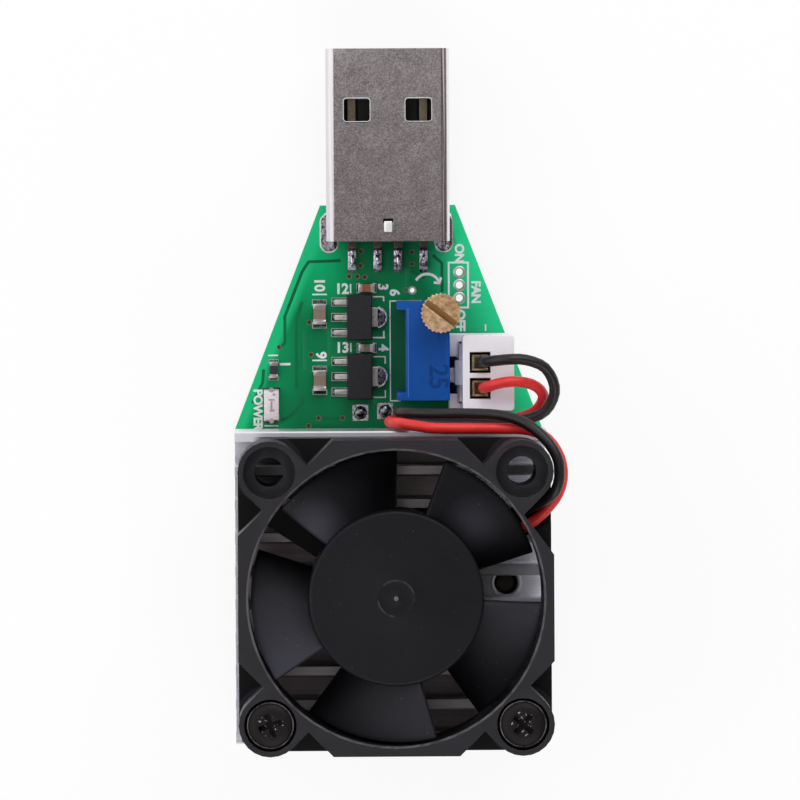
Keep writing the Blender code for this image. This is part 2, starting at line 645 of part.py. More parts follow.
def regulator_plate_outline():
    """Leads, die pad and heat tab of one regulator, as the one strip they are cut from."""
    edge = REGULATOR_WIDTH / 2
    lead_end, tab_end = -edge - REGULATOR_LEAD_REACH, edge + REGULATOR_TAB_REACH
    pad_left, half_tab, half_lead = -edge * 0.55, REGULATOR_TAB / 2, REGULATOR_LEAD / 2
    half_pad = REGULATOR_LENGTH * 0.4
    outline = [(pad_left, half_pad)]
    for row in (1, 0, -1):
        middle = row * REGULATOR_PITCH
        outline += [(pad_left, middle + half_lead), (lead_end, middle + half_lead),
                    (lead_end, middle - half_lead), (pad_left, middle - half_lead)]
    outline += [(pad_left, -half_pad), (edge * 0.8, -half_pad), (edge * 0.8, -half_tab)]
    corner = half_tab * 0.5
    outline += arc((tab_end - corner, -half_tab + corner), corner, -90, 0, 3)
    outline += arc((tab_end - corner, half_tab - corner), corner, 0, 90, 3)
    outline += [(edge * 0.8, half_tab), (edge * 0.8, half_pad)]
    return outline


def make_regulators(frame):
    copper = make_material("tinned_copper", (0.6, 0.6, 0.58), 0.35, 1.0)
    epoxy = make_material("black_epoxy", (0.02, 0.02, 0.022), 0.5)
    for index, place in enumerate(REGULATOR_PLACES):
        at = make_empty(f"regulator_{index + 1}_place", (*place, 0.0), frame)
        plate_top = SMALL_GAP + REGULATOR_PLATE
        plate = prism(regulator_plate_outline(), SMALL_GAP, plate_top)
        make_object(f"regulator_{index + 1}_leads", plate, copper, at)
        bottom = plate_top + SMALL_GAP
        case = prism(rectangle(REGULATOR_WIDTH, REGULATOR_LENGTH), bottom, bottom + REGULATOR_HEIGHT)
        upper = [vertex for vertex in case.verts if vertex.co.z > bottom + REGULATOR_HEIGHT / 2]
        bmesh.ops.scale(case, verts=upper, vec=(0.92, 0.95, 1.0))
        make_object(f"regulator_{index + 1}_case", case, epoxy, at)


# Fan connector


def make_header(frame):
    """Open shroud with two slots in its left wall, and the two square pins."""
    place = make_empty("header_place", (*HEADER_PLACE, 0.0), frame)
    nylon = make_material("white_nylon", (0.85, 0.84, 0.8), 0.45)
    tin = make_material("tinned_pin", (0.62, 0.62, 0.6), 0.3, 1.0)
    bottom, top = SMALL_GAP, SMALL_GAP + HEADER_HEIGHT
    half_depth, half_width = HEADER_DEPTH / 2, HEADER_WIDTH / 2
    past = 1.0 * MM
    shroud = make_object("header_shroud", block((-half_depth, -half_width, bottom),
                                                (half_depth, half_width, top)), nylon, place)
    cut(shroud, block((-half_depth + HEADER_WALL, -half_width + HEADER_WALL, bottom + HEADER_FLOOR),
                      (half_depth - HEADER_WALL, half_width - HEADER_WALL, top + past)), "cavity")
    slots, holes = [], []
    for index, row in enumerate(PIN_ROWS):
        slots.append(block((-half_depth - past, row - HEADER_SLOT / 2, bottom + HEADER_FLOOR),
                           (-half_depth + HEADER_WALL * 1.5, row + HEADER_SLOT / 2, top + past)))
        hole_half = PIN_SIDE / 2 + SMALL_GAP
        holes.append(block((-hole_half, row - hole_half, bottom - past),
                           (hole_half, row + hole_half, bottom + HEADER_FLOOR + past)))
        pin = prism(rectangle(PIN_SIDE, PIN_SIDE, (0.0, row)), BACK_PLANE, PIN_TOP)
        ends = [vertex for vertex in pin.verts if vertex.co.z > 0]
        bmesh.ops.scale(pin, verts=ends, vec=(0.6, 0.6, 1.0),
                        space=Matrix.Translation((0.0, -row, 0.0)))
        make_object(f"header_pin_{index + 1}", pin, tin, place)
    cut(shroud, merged(slots), "wall_slots")
    cut(shroud, merged(holes), "pin_holes")


def make_plug(frame):
    """Housing on the fan leads: a foot inside the shroud, a wider collar and two terminal wells."""
    place = make_empty("plug_place", (*HEADER_PLACE, 0.0), frame)
    nylon = make_material("white_plug_nylon", (0.86, 0.85, 0.8), 0.4)
    foot_bottom = SMALL_GAP + HEADER_FLOOR + SEAT_GAP
    collar_bottom = SMALL_GAP + HEADER_HEIGHT + SEAT_GAP
    foot_depth = HEADER_DEPTH - 2 * (HEADER_WALL + SMALL_GAP)
    foot_width = HEADER_WIDTH - 2 * (HEADER_WALL + SMALL_GAP)
    foot = prism(rectangle(foot_depth, foot_width), foot_bottom, collar_bottom + SEAT_GAP)
    plug = make_object("plug_housing", foot, nylon, place)
    collar = rounded_rectangle(PLUG_COLLAR_DEPTH, PLUG_COLLAR_WIDTH, 0.3 * MM,
                               (PLUG_COLLAR_SHIFT, 0.0), 2)
    join(plug, prism(collar, collar_bottom, PLUG_TOP), "collar")
    collar_left = PLUG_COLLAR_SHIFT - PLUG_COLLAR_DEPTH / 2
    ridge = [
        (collar_left + SMALL_GAP, collar_bottom + 0.1 * MM), (collar_left - RIDGE_DEPTH, collar_bottom + 0.1 * MM),
        (collar_left - RIDGE_DEPTH, collar_bottom + 0.7 * MM), (collar_left + SMALL_GAP, PLUG_TOP - 0.5 * MM),
    ]
    join(plug, prism(ridge, -RIDGE_WIDTH / 2, RIDGE_WIDTH / 2, "xz"), "latch_ridge")
    wells = []
    for row in PIN_ROWS:
        side = TERMINAL_SIDE + 2 * SMALL_GAP
        wells.append(prism(rectangle(side, side, (0.0, row)), foot_bottom - MM, PLUG_TOP + MM))
    cut(plug, merged(wells), "terminal_wells")


def make_terminals(frame):
    """Crimped sockets: a square tube on each pin and an open barrel round the wire's end."""
    place = make_empty("terminal_place", (*HEADER_PLACE, 0.0), frame)
    tin = make_material("tinned_bronze", (0.65, 0.63, 0.58), 0.28, 1.0)
    bottom = SMALL_GAP + HEADER_FLOOR + 2 * SEAT_GAP
    top = PLUG_TOP - 2 * SEAT_GAP
    socket_top = PIN_TOP + SEAT_GAP
    for index, row in enumerate(PIN_ROWS):
        tube = prism(rectangle(TERMINAL_SIDE, TERMINAL_SIDE, (0.0, row)), bottom, top)
        terminal = make_object(f"plug_terminal_{index + 1}", tube, tin, place)
        hole = PIN_SIDE + 2 * SMALL_GAP
        cut(terminal, prism(rectangle(hole, hole, (0.0, row)), bottom - MM, socket_top), "pin_socket")
        wall = (TERMINAL_SIDE - hole) / 2
        low = (-TERMINAL_SIDE / 2 + wall, row - TERMINAL_SIDE / 2 + wall, socket_top + 0.5 * MM)
        high = (TERMINAL_SIDE, row + TERMINAL_SIDE / 2 - wall, top + MM)
        cut(terminal, block(low, high), "crimp_barrel")


# Power transistor, pad, heatsink and fixing screw


def make_transistor(frame):
    place = make_empty("transistor_place", (0.0, HEATSINK_CENTRE.y, 0.0), frame)
    copper = make_material("tinned_tab", (0.6, 0.59, 0.57), 0.35, 1.0)
    epoxy = make_material("transistor_epoxy", (0.02, 0.02, 0.022), 0.5)
    half = TRANSISTOR_WIDTH / 2
    tab_start = TAB_END - TRANSISTOR_LENGTH
    corner = 0.9 * MM
    outline = [
        (tab_start, -half), (TAB_END - corner, -half), (TAB_END, -half + corner),
        (TAB_END, half - corner), (TAB_END - corner, half), (tab_start, half),
    ]
    tab = make_object("transistor_tab", prism(outline, TAB_BOTTOM, TAB_TOP), copper, place)
    cut(tab, cylinder(TAB_HOLE / 2, TAB_BOTTOM - MM, TAB_TOP + MM, (FIXING_FROM_CENTRE, 0.0)), "hole")
    case = block((tab_start, -half, CASE_BOTTOM), (tab_start + TRANSISTOR_CASE, half,
                                                   CASE_BOTTOM + CASE_THICKNESS))
    lower = [vertex for vertex in case.verts if vertex.co.z < CASE_BOTTOM + CASE_THICKNESS / 2]
    middle = Matrix.Translation((-tab_start - TRANSISTOR_CASE / 2, 0.0, 0.0))
    bmesh.ops.scale(case, verts=lower, vec=(0.95, 0.95, 1.0), space=middle)
    make_object("transistor_case", case, epoxy, place)
    lead_height = TAB_TOP - LEAD_BELOW_TAB
    bend = 0.5 * MM
    path = [
        (tab_start - SMALL_GAP, lead_height), (LEAD_COLUMN + bend, lead_height),
        (LEAD_COLUMN, lead_height - bend), (LEAD_COLUMN, BACK_PLANE),
    ]
    for row in (-1, 0, 1):
        middle_y = row * LEAD_PITCH
        lead = prism(strip_outline(path, LEAD_THICKNESS), middle_y - LEAD_WIDTH / 2,
                     middle_y + LEAD_WIDTH / 2, "xz")
        make_object(f"transistor_lead_{row + 2}", lead, copper, place)


def make_thermal_pad(frame):
    material = make_material("grey_silicone", (0.45, 0.45, 0.5), 0.8)
    right = TAB_END + (PAD_LENGTH - TRANSISTOR_LENGTH) / 2
    low = (right - PAD_LENGTH, HEATSINK_CENTRE.y - PAD_WIDTH / 2, PAD_BOTTOM)
    high = (right, HEATSINK_CENTRE.y + PAD_WIDTH / 2, PAD_BOTTOM + PAD_THICKNESS)
    pad = make_object("thermal_pad", block(low, high), material, frame)
    cut(pad, cylinder(FIXING_SHANK / 2 + SEAT_GAP, PAD_BOTTOM - MM, TAB_TOP + 2 * MM, FIXING_PLACE), "hole")


def heatsink_profile():
    """End view of the extrusion: a base with ten upright fins, each with eased top edges."""
    half = HEATSINK_SIDE / 2
    outline = [(-half, HEATSINK_BOTTOM), (half, HEATSINK_BOTTOM)]
    for fin in reversed(range(FIN_COUNT)):
        middle = -half + FIN_THICKNESS / 2 + fin * FIN_PITCH
        right, left = middle + FIN_THICKNESS / 2, middle - FIN_THICKNESS / 2
        if fin < FIN_COUNT - 1:
            outline.append((right, FIN_FLOOR))
        outline += [(right, FIN_TOP - FIN_CHAMFER), (right - FIN_CHAMFER, FIN_TOP),
                    (left + FIN_CHAMFER, FIN_TOP), (left, FIN_TOP - FIN_CHAMFER)]
        if fin > 0:
            outline.append((left, FIN_FLOOR))
    return outline


def make_heatsink(frame):
    place = make_empty("heatsink_place", (0.0, HEATSINK_CENTRE.y, 0.0), frame)
    material = make_material("bare_aluminium", (0.72, 0.72, 0.74), 0.35, 1.0)
    body = prism(heatsink_profile(), -HEATSINK_SIDE / 2, HEATSINK_SIDE / 2, "yz")
    heatsink = make_object("heatsink", body, material, place)
    bore = cylinder(FIXING_SHANK / 2 + SMALL_GAP, HEATSINK_BOTTOM - MM, FIN_FLOOR + MM,
                    (FIXING_FROM_CENTRE, 0.0))
    cut(heatsink, bore, "fixing_hole")


def make_fixing_screw(frame):
    """Screw from the back of the board, through the tab, into the heatsink."""
    place = make_empty("fixing_place", (*FIXING_PLACE, 0.0), frame)
    material = make_material("zinc_plate", (0.6, 0.6, 0.6), 0.35, 1.0)
    head_top = -BOARD_THICKNESS - SMALL_GAP
    head, shank = FIXING_HEAD / 2, FIXING_SHANK / 2
    edge = 0.3 * MM
    tip = HEATSINK_BOTTOM + FIXING_DEPTH
    profile = [
        (0.0, BACK_PLANE), (head - edge, BACK_PLANE), (head, BACK_PLANE + edge), (head, head_top),
        (shank, head_top), (shank, tip - edge), (shank - edge, tip), (0.0, tip),
    ]
    screw = make_object("heatsink_screw", lathe(profile, 32), material, place)
    recess = cross_cutter(FIXING_HEAD * CROSS_SPAN, CROSS_WIDTH, BACK_PLANE - MM, BACK_PLANE + 0.8 * MM)
    cut(screw, recess, "cross_recess")


# Fan


def fan_outline():
    """Front view of the fan frame: an octagon whose four short sides carry round ears.

    The side that the leads come over is relieved next to its ear.
    """
    half, flat = FAN_SIDE / 2, FLAT_LENGTH / 2
    ear = FAN_HOLE_PITCH / 2
    slant = half + flat
    spread = EAR_RADIUS * math.sqrt(2)
    inner = ((slant - spread) / 2, (slant + spread) / 2)
    points = []
    for quarter in range(4):
        relief = LEAD_RELIEF if quarter == 0 else 0.0
        corner = [(half, flat - relief), (inner[1] - relief / 4, inner[0] - relief / 4)]
        corner += arc((ear, ear), EAR_RADIUS, -45, 135, 12)
        corner += [(inner[0], inner[1]), (flat, half)]
        turn = Matrix.Rotation(quarter * math.pi / 2, 2)
        points += [tuple(turn @ Vector(point)) for point in corner]
    return points


def ear_places():
    ear = FAN_HOLE_PITCH / 2
    return [(ear, ear), (-ear, ear), (-ear, -ear), (ear, -ear)]


def make_fan_frame(axis):
    """Frame, back flange, struts, base plate and bearing tube, moulded in one."""
    material = make_material("black_frame_plastic", (0.035, 0.035, 0.04), 0.5)
    frame_piece = make_object("fan_frame", prism(fan_outline(), 0.0, FAN_HEIGHT), material, axis)
    flange = rounded_rectangle(FAN_SIDE, FAN_SIDE, EAR_RADIUS, steps=6)
    join(frame_piece, prism(flange, 0.0, FLANGE_THICKNESS), "back_flange")
    past = 1.0 * MM
    bore = BORE_DIAMETER / 2
    profile = [
        (0.0, -past), (bore, -past), (bore, FAN_HEIGHT - BORE_CHAMFER),
        (bore + BORE_CHAMFER + past, FAN_HEIGHT + past), (0.0, FAN_HEIGHT + past),
    ]
    cut(frame_piece, lathe(profile, 64), "bore")
    holes = [cylinder(EAR_HOLE / 2, -past, FAN_HEIGHT - COUNTERBORE_DEPTH / 2, place, 24)
             for place in ear_places()]
    cut(frame_piece, merged(holes), "ear_holes")
    sinks = [cylinder(EAR_COUNTERBORE / 2, FAN_HEIGHT - COUNTERBORE_DEPTH, FAN_HEIGHT + past, place, 32)
             for place in ear_places()]
    cut(frame_piece, merged(sinks), "counterbores")
    tube_outer = BEARING_DIAMETER / 2 + SMALL_GAP + TUBE_WALL
    tube_inner = BEARING_DIAMETER / 2 + SMALL_GAP
    base = HUB_DIAMETER / 2
    spider = [
        (base, 0.0), (base, STRUT_THICKNESS), (tube_outer, STRUT_THICKNESS),
        (tube_outer, TUBE_HEIGHT), (tube_inner, TUBE_HEIGHT), (tube_inner, 0.0),
    ]
    for number, angle in enumerate(STRUT_ANGLES):
        width = LEAD_STRUT_WIDTH if number == 0 else STRUT_WIDTH
        strut = block((base * 0.9, -width / 2, 0.0), (bore + 0.4 * MM, width / 2, STRUT_THICKNESS))
        join(frame_piece, turned(strut, math.radians(angle)), f"strut_{number + 1}")
    join(frame_piece, lathe(spider), "base_and_tube")
    notch = block((bore - 0.6 * MM, -LEAD_STRUT_WIDTH / 2, STRUT_THICKNESS),
                  (FAN_SIDE, LEAD_STRUT_WIDTH / 2, LEAD_NOTCH_HEIGHT))
    cut(frame_piece, turned(notch, math.radians(STRUT_ANGLES[0])), "lead_notch")


def blade_point(share, reach):
    """A point on the middle surface of a blade: share along its chord, reach along its span."""
    root, tip = HUB_DIAMETER / 2 - HUB_WALL * 0.6, BORE_DIAMETER / 2 - BLADE_TIP_GAP
    radius = root + (tip - root) * reach
    angle = math.radians(BLADE_START + BLADE_SPAN * share)
    height = BLADE_LOW + (BLADE_HIGH - BLADE_LOW) * share ** 0.85
    return Vector((radius * math.cos(angle), radius * math.sin(angle), height))


def blade_shape(turn):
    """One twisted blade, thin at both edges, as a closed shell."""
    chord_steps, span_steps = 9, 3
    shape = bmesh.new()
    sides = {1: [], -1: []}
    small = 0.01
    for i in range(chord_steps + 1):
        share = i / chord_steps
        for side in sides:
            sides[side].append([])
        for j in range(span_steps + 1):
            reach = j / span_steps
            middle = blade_point(share, reach)
            ahead = blade_point(min(1.0, share + small), reach) - blade_point(max(0.0, share - small), reach)
            outward = blade_point(share, reach + small) - middle
            normal = ahead.cross(outward).normalized()
            thickness = BLADE_THICKNESS * (0.45 + 0.55 * math.sin(math.pi * share))
            for side in sides:
                vertex = shape.verts.new(middle + normal * (side * thickness / 2))
                sides[side][-1].append(vertex)
    for grid in sides.values():
        for i in range(chord_steps):
            for j in range(span_steps):
                shape.faces.new((grid[i][j], grid[i + 1][j], grid[i + 1][j + 1], grid[i][j + 1]))
    upper, lower = sides[1], sides[-1]
    for i in range(chord_steps):
        for j in (0, span_steps):
            shape.faces.new((upper[i][j], upper[i + 1][j], lower[i + 1][j], lower[i][j]))
    for j in range(span_steps):
        for i in (0, chord_steps):
            shape.faces.new((upper[i][j], upper[i][j + 1], lower[i][j + 1], lower[i][j]))
    bmesh.ops.recalc_face_normals(shape, faces=shape.faces)
    return turned(shape, turn)


def make_rotor(axis):
    """Hub cup with its shaft boss, and five blades that sweep up to their leading edges."""
    material = make_material("black_rotor_plastic", (0.04, 0.04, 0.045), 0.45)
    radius = HUB_DIAMETER / 2
    top = FAN_HEIGHT - HUB_BELOW_FRONT
    ceiling = top - HUB_TOP
    boss, bore = BOSS_DIAMETER / 2, SHAFT_DIAMETER / 2 + SMALL_GAP
    profile = [
        (0.0, top), (radius - HUB_CHAMFER, top), (radius, top - HUB_CHAMFER), (radius, HUB_RIM_HEIGHT),
        (radius - HUB_WALL, HUB_RIM_HEIGHT), (radius - HUB_WALL, ceiling), (boss, ceiling),
        (boss, ceiling - BOSS_LENGTH), (bore, ceiling - BOSS_LENGTH), (bore, ceiling + HUB_TOP / 4),
        (0.0, ceiling + HUB_TOP / 4),
    ]
    rotor = make_object("fan_rotor", lathe(profile), material, axis)
    for number in range(BLADE_COUNT):
        join(rotor, blade_shape(2 * math.pi * number / BLADE_COUNT), f"blade_{number + 1}")


def make_spindle(axis):
    """Shaft, magnet ring and retaining clip, which all turn with the rotor."""
    steel = make_material("shaft_steel", (0.6, 0.6, 0.62), 0.2, 1.0)
    ferrite = make_material("magnet_rubber", (0.06, 0.05, 0.05), 0.7)
    spring = make_material("clip_nylon", (0.8, 0.8, 0.76), 0.5)
    radius = SHAFT_DIAMETER / 2
    top = FAN_HEIGHT - HUB_BELOW_FRONT - HUB_TOP
    groove = (0.9 * MM, 1.5 * MM)
    neck = radius - 0.25 * MM
    profile = [
        (0.0, top), (radius, top), (radius, groove[1]), (neck, groove[1]), (neck, groove[0]),
        (radius, groove[0]), (radius, 0.5 * MM), (0.0, 0.5 * MM),
    ]
    make_object("fan_shaft", lathe(profile, 20), steel, axis)
    outer = HUB_DIAMETER / 2 - HUB_WALL - SMALL_GAP
    inner = outer - MAGNET_THICKNESS
    low = HUB_RIM_HEIGHT + SMALL_GAP
    high = low + MAGNET_LENGTH
    make_object("rotor_magnet", lathe([(outer, low), (outer, high), (inner, high), (inner, low)]),
                ferrite, axis)
    middle = (groove[0] + groove[1]) / 2
    clip_half = 0.1 * MM
    clip = [(neck + SMALL_GAP, middle - clip_half), (radius + 0.8 * MM, middle - clip_half),
            (radius + 0.8 * MM, middle + clip_half), (neck + SMALL_GAP, middle + clip_half)]
    make_object("shaft_clip", lathe(clip, 24), spring, axis)


def stator_outline():
    """Four arms with broad shoes, as stamped laminations."""
    shoe_outer = HUB_DIAMETER / 2 - HUB_WALL - SMALL_GAP - MAGNET_THICKNESS - STATOR_GAP
    shoe_inner = shoe_outer - POLE_SHOE
    ring = BEARING_DIAMETER / 2 + SMALL_GAP + TUBE_WALL + SMALL_GAP + MM
    half = POLE_WIDTH / 2
    shoe = POLE_SHOE_SPAN / 2
    root = math.sqrt(ring ** 2 - half ** 2)
    neck = math.sqrt(shoe_inner ** 2 - half ** 2)
    points = []
    for pole in range(STATOR_POLES):
        arm = [(root, -half), (neck, -half)]
        arm += arc((0, 0), shoe_inner, -shoe * 0.7, -shoe, 1)
        arm += arc((0, 0), shoe_outer, -shoe, shoe, 8)
        arm += arc((0, 0), shoe_inner, shoe, shoe * 0.7, 1)
        arm += [(neck, half), (root, half)]
        turn = Matrix.Rotation(2 * math.pi * pole / STATOR_POLES, 2)
        points += [tuple(turn @ Vector(point)) for point in arm]
    return points


def make_stator(axis):
    """Bearing, laminated core, four coils and the small driver board round the tube."""
    bronze = make_material("sintered_bronze", (0.5, 0.32, 0.16), 0.5, 1.0)
    laminations = make_material("laminated_steel", (0.35, 0.35, 0.36), 0.45, 1.0)
    copper = make_material("enamelled_copper", (0.55, 0.2, 0.07), 0.35, 1.0)
    green = make_material("driver_board", (0.02, 0.25, 0.12), 0.45)
    hole, outer = SHAFT_DIAMETER / 2 + SMALL_GAP, BEARING_DIAMETER / 2
    low = STRUT_THICKNESS + 2 * SMALL_GAP
    sleeve = [(hole, low), (outer, low), (outer, low + BEARING_LENGTH), (hole, low + BEARING_LENGTH)]
    make_object("sleeve_bearing", lathe(sleeve, 32), bronze, axis)
    tube = BEARING_DIAMETER / 2 + SMALL_GAP + TUBE_WALL
    top = STATOR_BOTTOM + STATOR_HEIGHT
    core = make_object("stator_core", prism(stator_outline(), STATOR_BOTTOM, top), laminations, axis)
    cut(core, cylinder(tube + SMALL_GAP, STATOR_BOTTOM - MM, top + MM, steps=40), "tube_bore")
    shoe_inner = (HUB_DIAMETER / 2 - HUB_WALL - SMALL_GAP - MAGNET_THICKNESS - STATOR_GAP
                  - POLE_SHOE)
    start, end = tube + SMALL_GAP + MM + 0.3 * MM, shoe_inner - 0.35 * MM
    inner_half = POLE_WIDTH / 2 + SMALL_GAP
    outer_half = inner_half + COIL_BUILD
    for pole in range(STATOR_POLES):
        turn = 2 * math.pi * pole / STATOR_POLES
        winding = rounded_rectangle(2 * outer_half, STATOR_HEIGHT + 2 * (SMALL_GAP + COIL_BUILD), 0.5 * MM,
                                    (0.0, STATOR_BOTTOM + STATOR_HEIGHT / 2), 3)
        coil = make_object(f"coil_{pole + 1}", turned(prism(winding, start, end, "yz"), turn), copper, axis)
        window = rectangle(2 * inner_half, STATOR_HEIGHT + 2 * SMALL_GAP,
                           (0.0, STATOR_BOTTOM + STATOR_HEIGHT / 2))
        cut(coil, turned(prism(window, start - MM, end + MM, "yz"), turn), "window")
    board_outer = HUB_DIAMETER / 2 - FAN_BOARD_INSET
    low = STRUT_THICKNESS + SEAT_GAP
    ring = [(tube + SMALL_GAP, low), (board_outer, low), (board_outer, low + FAN_BOARD_THICKNESS),
            (tube + SMALL_GAP, low + FAN_BOARD_THICKNESS)]
    make_object("fan_circuit_board", lathe(ring), green, axis)


def make_fan_screws(axis):
    """Two pan-head screws through the lower ears, biting between two fins."""
    material = make_material("black_steel", (0.03, 0.03, 0.032), 0.35, 0.6)
    seat = FAN_HEIGHT - COUNTERBORE_DEPTH + SMALL_GAP
    top = seat + FAN_SCREW_HEAD_HEIGHT
    head, shank, core = FAN_SCREW_HEAD / 2, FAN_SCREW_SHANK / 2, FAN_SCREW_CORE / 2
    crown = 0.45 * MM
    tip = -SEAT_GAP - FAN_SCREW_BITE
    step = SEAT_GAP
    profile = [
        (0.0, tip), (core * 0.5, tip), (core, tip + core), (core, -step), (shank, step),
        (shank, seat), (head, seat), (head, top - crown), (head * 0.86, top - crown * 0.35),
        (head * 0.6, top), (0.0, top),
    ]
    for number, (place, angle) in enumerate(zip(ear_places()[2:], (18, 48))):
        at = make_empty(f"fan_screw_{number + 1}_place", (*place, 0.0), axis)
        screw = make_object(f"fan_screw_{number + 1}", lathe(profile, 32), material, at)
        recess = cross_cutter(FAN_SCREW_HEAD * CROSS_SPAN, CROSS_WIDTH, top - 0.9 * MM, top + MM,
                              angle=math.radians(angle))
        cut(screw, recess, "cross_recess")


# Fan leads


def smooth_route(route, spacing):
    """Evenly spaced points on a smooth curve through hand-chosen places."""
    places = [Vector(place) for place in route]
    padded = [2 * places[0] - places[1]] + places + [2 * places[-1] - places[-2]]
    fine = []
    steps = 24
    for index in range(1, len(padded) - 2):
        before, start, end, after = padded[index - 1:index + 3]
        for step in range(steps):
            t = step / steps
            fine.append(0.5 * (2 * start + (end - before) * t
                               + (2 * before - 5 * start + 4 * end - after) * t ** 2
                               + (3 * start - before - 3 * end + after) * t ** 3))
    fine.append(places[-1])
    length = sum((b - a).length for a, b in zip(fine, fine[1:]))
    count = max(2, round(length / spacing))
    picked, travelled, target = [fine[0]], 0.0, length / count
    for a, b in zip(fine, fine[1:]):
        travelled += (b - a).length
        if travelled >= target * len(picked) and len(picked) < count:
            picked.append(b)
    picked.append(fine[-1])
    return picked


def strut_places(side):
    """The last stretch of a lead, laid along the lead strut beside its neighbour."""
    angle = math.radians(STRUT_ANGLES[0])
    outward = Vector((math.cos(angle), math.sin(angle), 0.0))
    across = Vector((-outward.y, outward.x, 0.0)) * (side * LEAD_SPACING / 2)
    laid = FAN_BACK + STRUT_THICKNESS + SMALL_GAP + LEAD_DIAMETER / 2
    bore, hub = BORE_DIAMETER / 2, HUB_DIAMETER / 2
    places = []
    for radius in (bore + 0.9 * MM, bore - 0.7 * MM, (bore + hub) / 2, hub - FAN_BOARD_INSET + SEAT_GAP):
        places.append(FAN_CENTRE + outward * radius + across + Vector((0.0, 0.0, laid)))
    return places


def make_lead(frame, name, route, side, colour):
    material = make_material(name + "_insulation", colour, 0.45)
    places = [Vector(place) * MM for place in route] + strut_places(side)
    points = smooth_route(places, 2.1 * LEAD_DIAMETER / 2)
    curve = bpy.data.curves.new(name, "CURVE")
    curve.dimensions = "3D"
    curve.bevel_depth = LEAD_DIAMETER / 2
    curve.bevel_resolution = 2
    curve.use_fill_caps = True
    curve.materials.append(material)
    spline = curve.splines.new("POLY")
    spline.points.add(len(points) - 1)
    for point, place in zip(spline.points, points):
        point.co = (*place, 1.0)
    lead = bpy.data.objects.new(name, curve)
    lead.parent = frame
    bpy.context.collection.objects.link(lead)


def board_frame():
    """Empty that puts the finished load on z = 0, centred on its box without the leads."""
    left = min(-BOARD_WIDTH / 2, FAN_CENTRE.x - FAN_SIDE / 2)
    right = max(BOARD_WIDTH / 2, FAN_CENTRE.x + FAN_SIDE / 2)
    lowest = min(BOARD_BOTTOM_Y, FAN_BOTTOM_Y)
    return make_empty("board_frame", (-(left + right) / 2, -(lowest + SHELL_TIP) / 2, -BACK_PLANE))


def build():
    clear_scene()
    frame = board_frame()
    make_board(frame)
    make_shell(frame)
    tongue_top = make_insulator(frame)
    make_contacts(frame, tongue_top)
    make_trimmer(frame)
    make_knob(frame)
    make_chips(frame)
    make_regulators(frame)
    make_header(frame)
    make_plug(frame)
    make_terminals(frame)
    make_transistor(frame)
    make_thermal_pad(frame)
    make_heatsink(frame)
    make_fixing_screw(frame)
    axis = make_empty("fan_axis", (FAN_CENTRE.x, FAN_CENTRE.y, FAN_BACK), frame)
    make_fan_frame(axis)
    make_rotor(axis)
    make_spindle(axis)
    make_stator(axis)
    make_fan_screws(axis)
    make_lead(frame, "fan_lead_black", BLACK_ROUTE, 1, (0.015, 0.015, 0.017))
    make_lead(frame, "fan_lead_red", RED_ROUTE, -1, (0.6, 0.02, 0.02))


build()
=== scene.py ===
import json
import math

import bpy
from mathutils import Matrix, Vector

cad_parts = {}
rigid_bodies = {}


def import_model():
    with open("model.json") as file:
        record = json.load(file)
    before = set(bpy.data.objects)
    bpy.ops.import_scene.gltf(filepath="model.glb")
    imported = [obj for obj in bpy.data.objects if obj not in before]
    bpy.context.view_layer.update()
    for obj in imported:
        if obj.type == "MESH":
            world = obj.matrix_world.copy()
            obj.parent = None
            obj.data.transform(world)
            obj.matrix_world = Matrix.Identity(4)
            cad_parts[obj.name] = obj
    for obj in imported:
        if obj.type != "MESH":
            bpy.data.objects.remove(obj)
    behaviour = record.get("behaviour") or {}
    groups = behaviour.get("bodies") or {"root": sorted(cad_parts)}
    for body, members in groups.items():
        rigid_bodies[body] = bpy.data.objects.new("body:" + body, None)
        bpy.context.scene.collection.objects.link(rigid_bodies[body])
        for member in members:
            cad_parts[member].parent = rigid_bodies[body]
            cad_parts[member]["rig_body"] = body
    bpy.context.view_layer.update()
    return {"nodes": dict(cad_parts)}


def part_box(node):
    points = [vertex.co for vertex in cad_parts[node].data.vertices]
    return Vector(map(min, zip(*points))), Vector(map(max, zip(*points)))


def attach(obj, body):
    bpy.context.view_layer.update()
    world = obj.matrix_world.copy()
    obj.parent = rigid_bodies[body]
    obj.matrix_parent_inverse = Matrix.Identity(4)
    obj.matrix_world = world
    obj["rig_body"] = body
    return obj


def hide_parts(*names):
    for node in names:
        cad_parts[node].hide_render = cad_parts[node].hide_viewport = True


# Looks for a small USB electronic load. One unit below is a millimetre on the board:
# X to the right, Y to the plug's tip, Z up from the component side.

mm = 0.001
boardOrigin = Vector((-0.125, -3.4, 3.2))  # where the board's own zero lies in the part, in mm

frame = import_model()
nodes = frame["nodes"]
print("frame loaded:", len(nodes), "nodes")


def at(x, y, z=0.0):
    return (Vector((x, y, z)) + boardOrigin) * mm


def boardBox(name):
    return [tuple(v / mm - o for v, o in zip(corner, boardOrigin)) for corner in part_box(name)]


# Selecting, adding and finishing pieces


def selectOnly(*pieces):
    if bpy.context.mode != "OBJECT":
        bpy.ops.object.mode_set(mode="OBJECT")
    bpy.ops.object.select_all(action="DESELECT")
    for piece in pieces:
        piece.select_set(True)
    if pieces:
        bpy.context.view_layer.objects.active = pieces[0]


def settle(piece):  # the object goes to the origin and its place into its mesh
    selectOnly(piece)
    bpy.ops.object.transform_apply(location=True, rotation=True, scale=True)
    return piece


def asMesh(piece):
    selectOnly(piece)
    bpy.ops.object.convert(target="MESH")
    return settle(bpy.context.object)


def editMode(piece, what="EDGE"):
    selectOnly(piece)
    bpy.ops.object.mode_set(mode="EDIT")
    bpy.ops.mesh.select_mode(type=what)
    bpy.ops.mesh.select_all(action="SELECT")


def leaveEdit():
    bpy.ops.object.mode_set(mode="OBJECT")


